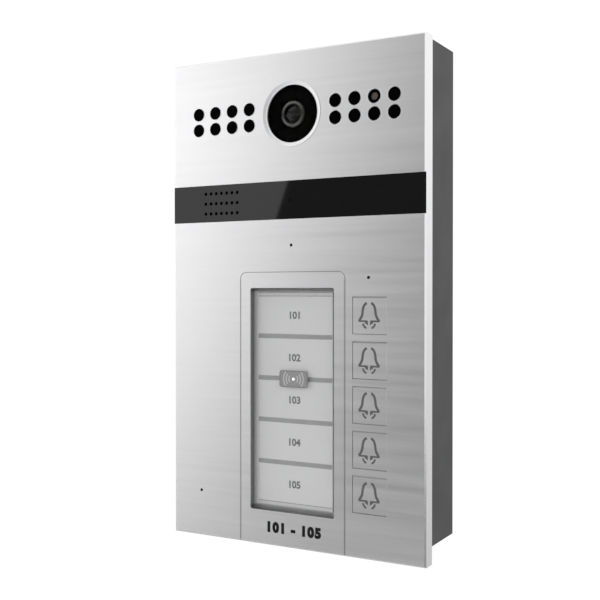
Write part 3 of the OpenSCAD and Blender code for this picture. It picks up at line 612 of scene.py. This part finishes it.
dress(plain_metal("stamped_steel", (0.30, 0.30, 0.31), 0.4), "speaker_basket")
dress(plain_metal("ferrite", (0.06, 0.06, 0.065), 0.6, 2500), "speaker_magnet")
dress(plain_metal("copper_track", (0.72, 0.38, 0.20), 0.3), "reader_antenna")
dress(plain_metal("plated_can", (0.62, 0.48, 0.24), 0.28), "microphones")
dress(plain_metal("sleeved_aluminium", (0.30, 0.32, 0.38), 0.35), "capacitors")
dress(clear_glass("clear_pane", (0.97, 0.975, 0.98), 0.03, IOR=1.2, Alpha=0.3), "window_pane")
dress(clear_glass("smoked_window", (0.80, 0.80, 0.80), 0.02, IOR=1.05), "camera_window")
dress(clear_glass("lens_glass", (0.48, 0.48, 0.45), 0.16, IOR=1.4), "camera_lens")
dress(clear_glass("filter_glass", (0.35, 0.62, 0.75), 0.02, IOR=1.46), "ir_cut_filter")
bare = [name for name, node in nodes.items() if not node.data.materials]
print("materials:", len(bpy.data.materials), "pieces without one:", bare)

# %% [markdown]
# ## Printed marks
# Bells on the keys, numbers on the cards and a legend on the foot are ink: flat shapes a few hundredths of
# a millimetre thick. A stroke is made as a ribbon along a path, because a ribbon keeps one width round
# every bend. Bezier paths keep each bell to a handful of points.

# %% Ink helpers
INK = 0.04 * MM


def bezier(start, pull, push, end, steps=10):
    """Points on one cubic Bezier span."""
    points = []
    for i in range(steps + 1):
        t = i / steps
        u = 1 - t
        weights = (u * u * u, 3 * u * u * t, 3 * u * t * t, t * t * t)
        pulls = list(zip(weights, (start, pull, push, end)))
        points.append(tuple(sum(w * spot[k] for w, spot in pulls) for k in (0, 1)))
    return points


def arc(centre, radius, first, last, steps=14):
    """Points on an arc, from one angle in degrees to another."""
    angles = (math.radians(first + (last - first) * i / steps) for i in range(steps + 1))
    return [(centre[0] + radius * math.cos(a), centre[1] + radius * math.sin(a)) for a in angles]


def add_ribbon(shape, path, width, front, back):
    """Adds a closed flat stroke along a path of (x, z) points, in metres."""
    stations = []
    for i, (x, z) in enumerate(path):
        before, after = path[max(i - 1, 0)], path[min(i + 1, len(path) - 1)]
        along = Vector((after[0] - before[0], after[1] - before[1])).normalized()
        side = Vector((-along.y, along.x)) * width / 2
        corners = ((1, front), (-1, front), (-1, back), (1, back))
        stations.append([shape.verts.new((x + sign * side.x, y, z + sign * side.y)) for sign, y in corners])
    for here, there in zip(stations, stations[1:]):
        for k in range(4):
            shape.faces.new((here[k], here[(k + 1) % 4], there[(k + 1) % 4], there[k]))
    shape.faces.new(stations[0])
    shape.faces.new(stations[-1])


def add_patch(shape, outline, front, back):
    """Adds a closed flat patch inside an outline of (x, z) points, in metres."""
    near = [shape.verts.new((x, front, z)) for x, z in outline]
    far = [shape.verts.new((x, back, z)) for x, z in outline]
    shape.faces.new(near)
    shape.faces.new(far)
    for i in range(len(outline)):
        j = (i + 1) % len(outline)
        shape.faces.new((near[i], near[j], far[j], far[i]))


def finish_piece(name, shape, material, body):
    """Turns a bmesh into a piece that rides on a body."""
    bmesh.ops.recalc_face_normals(shape, faces=shape.faces)
    mesh = bpy.data.meshes.new(name)
    shape.to_mesh(mesh)
    shape.free()
    mesh.materials.append(material)
    piece = show(bpy.data.objects.new(name, mesh))
    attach(piece, body)
    return piece


def ink(name, colour, rough=0.6):
    """Screen ink: matte, with a fine speckle where it sits thinly."""
    material, tree, shader = start_material(name, colour, rough, 0.0, Specular_IOR_Level=0.3)
    speckle = noise(tree, place(tree), 5000, 2.0, 0.5)
    paint(tree, shader, remap(tree, speckle, 0, 1), colour, tint(colour, 1.35))
    polish(tree, shader, speckle, rough - 0.1, rough + 0.1)
    return material


print("ink thickness in mm:", INK / MM)

# %% [markdown]
# ### Bells
# Each key carries a bell: two curved sides that flare to the lip, the lip's two halves, a dark knot under
# each half and a small arc for the clapper. It is open at the top and the bottom. The halves mirror each
# other, so one half is drawn with a sign. Two thin dark lines on each key are painted shade where its upper
# and lower edges turn away from the light. All of them ride on their keys, so they move when a key is
# pressed.

# %% Bells
BELL_STROKE = 1.1 * MM
LIP_STROKE = 0.75 * MM
CLAPPER_STROKE = 0.85 * MM
BELL_SHIFT = -0.3
# Where the painted shade lines sit inside each key's top and foot edges, and how wide they are.
TOP_SHADE = (0.2 * MM, 0.36 * MM)
FOOT_SHADE = (0.1 * MM, 0.14 * MM)
bell_ink = ink("bell_ink", (0.165, 0.165, 0.165))
# The grey ink of the painted shade along the keys' edges.
key_shade_ink = ink("key_shade_ink", (0.42, 0.42, 0.42))


def make_bell(number):
    """A bell on the front of one key. Its points are in millimetres from the key's middle."""
    low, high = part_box(f"call_button_{number}")
    x0, z0 = (low.x + high.x) / 2, (low.z + high.z) / 2
    front, back = low.y - INK, low.y + INK
    shape = bmesh.new()
    for side in (-1, 1):
        def at(x, z):
            return (x0 + (side * x + BELL_SHIFT) * MM, z0 + z * MM)
        shoulder = bezier(at(1.0, 5.4), at(2.4, 5.0), at(2.9, 3.4), at(3.05, 1.6))
        flare = bezier(at(3.05, 1.6), at(3.2, -0.1), at(3.7, -0.9), at(4.75, -2.35))
        add_ribbon(shape, shoulder + flare[1:], BELL_STROKE, front, back)
        lip = [at(x, -2.42) for x in (5.0, 2.6, 0.8)]
        add_ribbon(shape, lip, LIP_STROKE, front - INK / 4, back)
        knot = [at(0.5, -2.3), at(2.4, -2.3), at(1.8, -3.3), at(0.5, -4.2)]
        add_patch(shape, knot, front - INK / 2, back)
        clapper = bezier(at(2.85, -3.4), at(2.7, -4.4), at(2.1, -5.1), at(1.25, -5.4))
        add_ribbon(shape, clapper, CLAPPER_STROKE, front, back)
    return finish_piece(f"bell_{number}", shape, bell_ink, f"call_button_{number}")


def make_key_lines(number):
    """Painted shade: dark lines where a key's upper and lower edges turn away from the light. Each is so far
    inside and so wide.
    """
    low, high = front_box(f"call_button_{number}")
    shape = bmesh.new()
    for z, width in ((high.z - TOP_SHADE[0], TOP_SHADE[1]), (low.z + FOOT_SHADE[0], FOOT_SHADE[1])):
        add_ribbon(shape, [(low.x, z), (high.x, z)], width, low.y - INK, low.y + INK)
    return finish_piece(f"key_shade_lines_{number}", shape, key_shade_ink, f"call_button_{number}")


bells = [make_bell(number) for number in range(1, 6)]
key_shade_lines = [make_key_lines(number) for number in range(1, 6)]
print("bells:", len(bells), "faces each:", len(bells[0].data.polygons), "key lines:", len(key_shade_lines))

# %% [markdown]
# ### Numbers
# The cards show flat numbers, and the foot of the frame shows their range. Text starts as a curve with a
# font, is made a mesh while it still lies flat, and is then stood up, scaled to its height and moved into
# place.

# %% Numbers
CARD_CAP = 3.4 * MM
CARD_BOLD = 0.03
FOOT_CAP = 5.1 * MM
FOOT_BOLD = 0.075
FOOT_RISE = 8.5 * MM
FOOT_SHIFT = 1.4 * MM
RAISED = 0.01


def make_text(name, words, x, y, z, cap, bold, material, body, spread=1.0):
    """A flat line of text, centred on (x, z), whose capitals are cap high."""
    curve = bpy.data.curves.new(name, "FONT")
    curve.body = words
    curve.offset = bold
    curve.space_character = spread
    curve.extrude = RAISED
    curve.resolution_u = 6
    maker = show(bpy.data.objects.new(name + "_curve", curve))
    graph = bpy.context.evaluated_depsgraph_get()
    mesh = bpy.data.meshes.new_from_object(maker.evaluated_get(graph))
    bpy.data.objects.remove(maker)
    lows = [min(v.co[k] for v in mesh.vertices) for k in range(2)]
    highs = [max(v.co[k] for v in mesh.vertices) for k in range(2)]
    scale = cap / (highs[1] - lows[1])
    middle = Vector(((lows[0] + highs[0]) / 2, (lows[1] + highs[1]) / 2, 0))
    stand = Matrix.Rotation(math.radians(90), 4, "X") @ Matrix.Diagonal((scale, scale, INK / RAISED, 1))
    mesh.transform(Matrix.Translation((x, y, z)) @ stand @ Matrix.Translation(-middle))
    mesh.name = name
    mesh.materials.clear()
    mesh.materials.append(material)
    piece = show(bpy.data.objects.new(name, mesh))
    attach(piece, body)
    return piece


def levels(node, axis):
    """The distinct heights of a node's corners along an axis, in order."""
    return sorted({round(v.co[axis], 6) for v in nodes[node].data.vertices})


card_edges = levels("name_cards", 2)
card_low, card_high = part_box("name_cards")
cards = [(card_edges[i], card_edges[i + 1]) for i in range(len(card_edges) - 2, -1, -2)]
card_ink = ink("card_ink", (0.25, 0.25, 0.25))
for number, (bottom, top) in enumerate(cards, 101):
    make_text(f"card_number_{number}", str(number), 0, card_low.y, (bottom + top) / 2, CARD_CAP, CARD_BOLD,
              card_ink, "housing")
frame_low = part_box("name_frame")[0]
legend = make_text("foot_legend", "101 - 105", FOOT_SHIFT, frame_low.y, frame_low.z + FOOT_RISE, FOOT_CAP,
                   FOOT_BOLD, ink("legend_ink", (0.006, 0.006, 0.006)), "name_frame",
                   spread=1.22)
print("cards:", len(cards), "legend width in mm:", round(legend.dimensions.x / MM, 2))

# %% [markdown]
# ### Lines round the cards
# The stack of cards lies in a shallow recess of the tray, whose edge gets a fine line of painted shade above
# the first card and below the last. A wider line of painted shadow marks the tray's right edge, where the
# frame's shadow falls.

# %% Lines round the cards
# The widths of the painted shade lines at the recess's edges and of the painted shadow along the tray's
# right edge.
GROOVE_SHADE = 0.28 * MM
SHADOW = 0.8 * MM
tray_low, tray_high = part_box("card_tray")


def make_groove():
    """Painted shade: one thin grey line above the cards and one below."""
    shape = bmesh.new()
    for z in (card_low.z - GROOVE_SHADE / 2, card_high.z + GROOVE_SHADE / 2):
        add_ribbon(shape, [(card_low.x, z), (card_high.x, z)], GROOVE_SHADE, tray_low.y - INK, tray_low.y + INK)
    grey = ink("groove_shade_grey", (0.42, 0.42, 0.42))
    return finish_piece("card_groove_shade", shape, grey, "housing")


def make_tray_shadow():
    """The dark line along the tray's right edge."""
    shape = bmesh.new()
    x = tray_high.x - SHADOW / 2
    add_ribbon(shape, [(x, tray_low.z), (x, tray_high.z)], SHADOW, tray_low.y - INK, tray_low.y + INK)
    grey = ink("shadow_grey", (0.24, 0.24, 0.24))
    return finish_piece("tray_shadow", shape, grey, "housing")


for piece in (make_groove(), make_tray_shadow()):
    print(piece.name, "spans in mm:", [round(length / MM, 2) for length in piece.dimensions])

# %% [markdown]
# ### Reader badge
# The badge behind the pane marks where to hold a card: three arcs on each side of a small lit dot, inside a
# darker rim. The arcs share one centre, so a loop over radii draws them.

# %% Reader badge
WAVE_RADII = (2.3 * MM, 3.7 * MM, 5.1 * MM)
WAVE_ANGLE = 38
WAVE_STROKE = 0.55 * MM
BADGE_CORNER = 1.3 * MM
RIM_INSET = 0.2 * MM
RIM_STROKE = 0.4 * MM
DOT_RADIUS = 0.6 * MM
badge_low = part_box("reader_badge")[0]
badge_mid = middle_of(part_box("reader_badge"))


def make_badge_marks():
    """The badge's waves, its rim and its lit dot."""
    front, back = badge_low.y - INK, badge_low.y + INK
    centre = (badge_mid.x, badge_mid.z)
    waves = bmesh.new()
    for radius in WAVE_RADII:
        for middle in (0, 180):
            wave = arc(centre, radius, middle - WAVE_ANGLE, middle + WAVE_ANGLE)
            add_ribbon(waves, wave, WAVE_STROKE, front, back)
    finish_piece("badge_waves", waves, ink("wave_ink", (0.70, 0.70, 0.70)), "name_frame")

    rim = bmesh.new()
    across, up = badge_mid.x - badge_low.x - BADGE_CORNER, badge_mid.z - badge_low.z - BADGE_CORNER
    path = []
    for index, (sx, sz) in enumerate(((1, 1), (-1, 1), (-1, -1), (1, -1))):
        turning = (centre[0] + sx * across, centre[1] + sz * up)
        path += arc(turning, BADGE_CORNER - RIM_INSET, index * 90, index * 90 + 90, 6)
    add_ribbon(rim, path + path[:1], RIM_STROKE, front, back)
    finish_piece("badge_rim", rim, ink("rim_ink", (0.30, 0.30, 0.30)), "name_frame")

    dot = bmesh.new()
    add_patch(dot, arc(centre, DOT_RADIUS, 0, 345, 23), front - INK, back)
    glow, _, _ = start_material("badge_light", (0.95, 0.95, 0.95), 0.3, 0.0, Emission_Strength=1.2)
    glow.node_tree.nodes["Principled BSDF"].inputs["Emission Color"].default_value = (1, 1, 1, 1)
    return finish_piece("badge_light", dot, glow, "name_frame")


badge_light = make_badge_marks()
print("badge light faces:", len(badge_light.data.polygons))

# %% [markdown]
# ## Pieces made by Geometry Nodes
# What repeats is placed by a node tree: rims round the night lights, notches round the lens ring, dividers
# between the cards and the threads of the speaker's cloth. Each tree has named inputs for its sizes. The
# result is made a plain mesh, because the moving bodies need plain meshes to ride on them.

# %% Geometry Nodes helpers
UPRIGHT = (math.pi / 2, 0, 0)


def start_tree(name, **sizes):
    """A tree with a named number input for each size. Returns the tree, its input node and the inputs'
    identifiers."""
    tree = bpy.data.node_groups.new(name, "GeometryNodeTree")
    identifiers = {}
    for key, value in sizes.items():
        socket = tree.interface.new_socket(key, in_out="INPUT", socket_type="NodeSocketFloat")
        socket.default_value = value
        identifiers[key] = socket.identifier
    tree.interface.new_socket("Geometry", in_out="OUTPUT", socket_type="NodeSocketGeometry")
    return tree, tree.nodes.new("NodeGroupInput"), identifiers


def add_node(tree, kind, settings=None, **inputs):
    """Adds a node. An input given as a socket is linked, and one given as a value is set."""
    node = tree.nodes.new(kind)
    for key, value in (settings or {}).items():
        setattr(node, key, value)
    for key, value in inputs.items():
        socket = node.inputs[key.replace("_", " ")]
        if isinstance(value, bpy.types.NodeSocket):
            tree.links.new(value, socket)
        else:
            socket.default_value = value
    return node


def circle(tree, corners, radius):
    """A circle drawn with so many corners."""
    return add_node(tree, "GeometryNodeCurvePrimitiveCircle", Resolution=corners, Radius=radius)


def centred_line(tree, length):
    """A straight line along X with its middle at 0."""
    ends = [combine(tree, calculate(tree, "MULTIPLY", length, share)) for share in (-0.5, 0.5)]
    return add_node(tree, "GeometryNodeCurvePrimitiveLine", Start=ends[0], End=ends[1])


def sweep(tree, path, profile, **inputs):
    """Sweeps a profile along a path."""
    return add_node(tree, "GeometryNodeCurveToMesh", Curve=path.outputs[0],
                    Profile_Curve=profile.outputs[0], **inputs)


def transform(tree, shape, **inputs):
    """Moves, turns or stretches a shape."""
    return add_node(tree, "GeometryNodeTransform", Geometry=shape.outputs[0], **inputs)


def scatter(tree, seats, shape, **inputs):
    """Puts a copy of a shape at every point."""
    return add_node(tree, "GeometryNodeInstanceOnPoints", Points=seats.outputs[0],
                    Instance=shape.outputs[0], **inputs)


def end_tree(tree, shape, material):
    """Realize Instances, Set Material and the output."""
    real = add_node(tree, "GeometryNodeRealizeInstances", Geometry=shape.outputs[0])
    painted = add_node(tree, "GeometryNodeSetMaterial", Geometry=real.outputs[0], Material=material)
    out = tree.nodes.new("NodeGroupOutput")
    tree.links.new(painted.outputs[0], out.inputs[0])


def grow(name, tree, identifiers, body, slot, **values):
    """Runs a tree with these values, keeps the result as a plain mesh and lets it ride on a body."""
    piece = show(bpy.data.objects.new(name, bpy.data.meshes.new(name + "_seed")))
    modifier = piece.modifiers.new("tree", "NODES")
    modifier.node_group = tree
    for key, value in values.items():
        modifier[identifiers[key]] = float(value)
    graph = bpy.context.evaluated_depsgraph_get()
    mesh = bpy.data.meshes.new_from_object(piece.evaluated_get(graph))
    piece.modifiers.remove(modifier)
    mesh.name = name
    piece.data = mesh
    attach(piece, body)
    print(name, "triangles:", sum(len(p.vertices) - 2 for p in mesh.polygons))
    return piece


def combine(tree, x=0.0, y=0.0, z=0.0):
    """A vector made of three numbers or sockets."""
    return add_node(tree, "ShaderNodeCombineXYZ", X=x, Y=y, Z=z).outputs[0]

# %% [markdown]
# ### Rims round the night lights
# Each light hole has a fine polished edge. One rim is a circle swept with a small round profile and pressed
# flat. A grid of points places a copy at each hole, and the grid's size and place come from the CAD window
# behind it.

# %% Rims
LIGHT_HOLE = 3.0 * MM
LIGHT_MARGIN = 1.0 * MM
LIGHT_COLUMNS = 4


def make_rim_tree(material):
    """One pressed ring, copied to every point of a grid with two rows."""
    tree, source, names = start_tree("hole_rims", Radius=3 * MM, Width=0.3 * MM, Proud=0.05 * MM,
                                     Columns=4.0, Pitch_X=10 * MM, Pitch_Z=10 * MM, Centre_X=0.0,
                                     Centre_Y=0.0, Centre_Z=0.0)
    size = source.outputs
    gaps = calculate(tree, "SUBTRACT", size["Columns"], 1.0)
    across = calculate(tree, "MULTIPLY", gaps, size["Pitch_X"])
    grid = add_node(tree, "GeometryNodeMeshGrid", Size_X=across, Size_Y=size["Pitch_Z"],
                    Vertices_X=size["Columns"], Vertices_Y=2)
    middle = combine(tree, size["Centre_X"], size["Centre_Y"], size["Centre_Z"])
    seats = transform(tree, grid, Translation=middle, Rotation=UPRIGHT)
    reach = calculate(tree, "MULTIPLY_ADD", size["Width"], 0.5, size["Radius"])
    half = calculate(tree, "MULTIPLY", size["Width"], 0.5)
    bead = sweep(tree, circle(tree, 48, reach), circle(tree, 8, half))
    flat = combine(tree, 1.0, calculate(tree, "DIVIDE", size["Proud"], half), 1.0)
    pressed = transform(tree, transform(tree, bead, Rotation=UPRIGHT), Scale=flat)
    end_tree(tree, scatter(tree, seats, pressed), material)
    return tree, names


edge_metal = turned_metal("polished_edge", Vector((0, 0, 0)), (0.9, 0.9, 0.91), 0.22, 2000)
rim_tree, rim_names = make_rim_tree(edge_metal)
plate_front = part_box("faceplate")[0].y
for side in ("left", "right"):
    low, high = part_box(f"{side}_ir_window")
    rest = 2 * (LIGHT_HOLE + LIGHT_MARGIN)
    grow(f"{side}_light_rims", rim_tree, rim_names, "housing", "bezel_metal", Radius=LIGHT_HOLE,
         Pitch_X=(high.x - low.x - rest) / (LIGHT_COLUMNS - 1), Pitch_Z=high.z - low.z - rest,
         Centre_X=(low.x + high.x) / 2, Centre_Y=plate_front, Centre_Z=(low.z + high.z) / 2,
         Columns=LIGHT_COLUMNS)

# %% [markdown]
# ### Lens ring
# A thin ring with notches holds the front lens in its barrel, and a spanner turns it. The notches are small
# blocks placed at the corners of a mesh circle, each turned by its own share of a full turn. The ring's
# metal has painted shade toward the lens, where the barrel's inside lies in shade, and painted light makes
# it lightest above and below, where light reaches into the barrel.

# %% Lens ring
RING_RADIUS = 5.0 * MM
RING_WIDTH = 1.7 * MM
RING_DEPTH = 0.05 * MM
RING_PROUD = 0.04 * MM
# The radius inside which the ring's metal gets painted shade.
RING_SHADE_EDGE = 4.8 * MM
NOTCH = 0.35 * MM


def make_lens_ring_tree(material):
    """A flat band with small blocks on it."""
    tree, source, names = start_tree("lens_ring", Radius=5.5 * MM, Width=1 * MM, Depth=0.3 * MM, Teeth=24.0,
                                     Centre_Y=0.0, Centre_Z=0.0)
    size = source.outputs
    profile = add_node(tree, "GeometryNodeCurvePrimitiveQuadrilateral", Width=size["Width"],
                       Height=size["Depth"])
    band = sweep(tree, circle(tree, 96, size["Radius"]), profile)
    seats = add_node(tree, "GeometryNodeMeshCircle", Vertices=size["Teeth"], Radius=size["Radius"])
    index = add_node(tree, "GeometryNodeInputIndex").outputs[0]
    angle = calculate(tree, "MULTIPLY", calculate(tree, "DIVIDE", index, size["Teeth"]), 2 * math.pi)
    deep = calculate(tree, "MULTIPLY", size["Depth"], 1.6)
    block = add_node(tree, "GeometryNodeMeshCube", Size=combine(tree, size["Width"], NOTCH, deep))
    teeth = scatter(tree, seats, block, Rotation=combine(tree, 0.0, 0.0, angle))
    both = tree.nodes.new("GeometryNodeJoinGeometry")
    for part in (band, teeth):
        tree.links.new(part.outputs[0], both.inputs[0])
    middle = combine(tree, 0.0, size["Centre_Y"], size["Centre_Z"])
    end_tree(tree, transform(tree, both, Rotation=UPRIGHT, Translation=middle), material)
    return tree, names


def ring_metal(name, centre, colour, rough, shade_edge, shade_edge_colour):
    """Turned metal with painted shade inside a radius. Painted light makes it lightest above and below its
    centre.
    """
    material = turned_metal(name, centre, colour, rough)
    tree = material.node_tree
    rise = calculate(tree, "ABSOLUTE", split_axes(tree, place(tree, (1, 0, 1), centre))["Z"])
    # Painted light and shade: lighter above and below the centre, darker at the sides.
    lit = shade(tree, remap(tree, rise, 0, 1, 0, 0.8 * shade_edge), tint(colour, 0.2), colour)
    # Painted shade inside the radius, toward the lens.
    step = remap(tree, reach_from(tree, centre), 0, 1, shade_edge - 0.2 * MM, shade_edge + 0.1 * MM)
    paint(tree, tree.nodes["Principled BSDF"], step, shade_edge_colour, lit)
    return material


barrel_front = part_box("lens_barrel")[0].y
ring_finish = ring_metal("anodised_ring", camera_centre, (0.24, 0.24, 0.23), 0.35, RING_SHADE_EDGE,
                         (0.06, 0.06, 0.056))
ring_tree, ring_names = make_lens_ring_tree(ring_finish)
grow("lens_ring", ring_tree, ring_names, "housing", "matte_black", Radius=RING_RADIUS, Width=RING_WIDTH,
     Depth=RING_DEPTH, Centre_Y=barrel_front - RING_PROUD, Centre_Z=camera_centre.z)

# %% [markdown]
# ### Card dividers
# Between the cards the tray shows as low rounded bars. Each bar is a line swept with a circle and pressed
# flat, and a mesh line with one point for each gap places them.

# %% Card dividers
DIVIDER_PROUD = 0.06 * MM


def make_divider_tree(material):
    """One pressed bar, copied to every point of an upright line."""
    tree, source, names = start_tree("card_dividers", Width=40 * MM, Height=1.7 * MM, Proud=0.1 * MM,
                                     Pitch=19.3 * MM, Count=4.0, First_Y=0.0, First_Z=0.0)
    size = source.outputs
    half = calculate(tree, "MULTIPLY", size["Height"], 0.5)
    bar = sweep(tree, centred_line(tree, size["Width"]), circle(tree, 16, half), Fill_Caps=True)
    flat = combine(tree, 1.0, calculate(tree, "DIVIDE", size["Proud"], half), 1.0)
    first = combine(tree, 0.0, size["First_Y"], size["First_Z"])
    seats = add_node(tree, "GeometryNodeMeshLine", Count=size["Count"], Start_Location=first,
                     Offset=combine(tree, 0.0, 0.0, size["Pitch"]))
    end_tree(tree, scatter(tree, seats, transform(tree, bar, Scale=flat)), material)
    return tree, names


divider_tree, divider_names = make_divider_tree(moulded("divider_grey", (0.54, 0.54, 0.54), 0.6, 1000))
gaps = [(upper[0], lower[1]) for upper, lower in zip(cards, cards[1:])]
grow("card_dividers", divider_tree, divider_names, "housing", "tray_white", Width=card_high.x - card_low.x,
     Height=gaps[0][0] - gaps[0][1], Proud=DIVIDER_PROUD, Pitch=cards[0][0] - cards[1][0], Count=len(gaps),
     First_Y=card_low.y, First_Z=(gaps[-1][0] + gaps[-1][1]) / 2)

# %% [markdown]
# ### Speaker cloth
# Behind the sound holes lies a woven cloth that keeps dust and spray out. Two sets of threads cross, and
# each thread rises and falls over the others: its height is a sine of the distance along it. One tree makes
# one set, and the second set is the same tree turned by a right angle.

# %% Speaker cloth
CLOTH_PITCH = 0.42 * MM
CLOTH_SIZE = (21.0 * MM, 12.6 * MM)


def make_thread_tree(material):
    """One set of parallel threads, each of which rises and falls along a sine."""
    tree, source, names = start_tree("cloth_threads", Length=20 * MM, Count=20.0, Pitch=0.5 * MM,
                                     Thick=0.11 * MM, Phase=0.0, Turn=0.0, Centre_X=0.0, Centre_Y=0.0,
                                     Centre_Z=0.0)
    size = source.outputs
    bend = calculate(tree, "MULTIPLY", size["Pitch"], 0.5)
    line = centred_line(tree, size["Length"])
    fine = add_node(tree, "GeometryNodeResampleCurve", {"mode": "LENGTH"}, Length=bend,
                    Curve=line.outputs[0])
    spot = add_node(tree, "GeometryNodeInputPosition").outputs[0]
    turns = calculate(tree, "DIVIDE", split_axes(tree, spot)["X"], size["Pitch"])
    swing = calculate(tree, "MULTIPLY_ADD", turns, math.pi, size["Phase"])
    lift = calculate(tree, "MULTIPLY", size["Thick"], 0.6)
    rise = combine(tree, 0.0, 0.0, calculate(tree, "MULTIPLY", calculate(tree, "SINE", swing), lift))
    wavy = add_node(tree, "GeometryNodeSetPosition", Geometry=fine.outputs[0], Offset=rise)
    thread = sweep(tree, wavy, circle(tree, 4, size["Thick"]), Fill_Caps=True)
    gaps_between = calculate(tree, "SUBTRACT", size["Count"], 1.0)
    width = calculate(tree, "MULTIPLY", gaps_between, size["Pitch"])
    first = combine(tree, 0.0, calculate(tree, "MULTIPLY", width, -0.5))
    seats = add_node(tree, "GeometryNodeMeshLine", Count=size["Count"], Start_Location=first,
                     Offset=combine(tree, 0.0, size["Pitch"]))
    spin = combine(tree, 0.0, 0.0, size["Turn"])
    turned = transform(tree, scatter(tree, seats, thread), Rotation=spin)
    middle = combine(tree, size["Centre_X"], size["Centre_Y"], size["Centre_Z"])
    end_tree(tree, transform(tree, turned, Rotation=UPRIGHT, Translation=middle), material)
    return tree, names


gasket_mid = middle_of(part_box("speaker_gasket"))
thread_tree, thread_names = make_thread_tree(moulded("cloth_thread", (0.14, 0.14, 0.145), 0.8, 4000))
sets = (("cloth_weft", 0, 1, 0.0, 0.0), ("cloth_warp", 1, 0, math.pi / 2, math.pi))
for name, long, wide, turn, phase in sets:
    grow(name, thread_tree, thread_names, "housing", "speaker_paper", Length=CLOTH_SIZE[long],
         Pitch=CLOTH_PITCH, Count=int(CLOTH_SIZE[wide] / CLOTH_PITCH), Turn=turn, Phase=phase,
         Centre_X=gasket_mid.x, Centre_Y=gasket_mid.y, Centre_Z=gasket_mid.z)
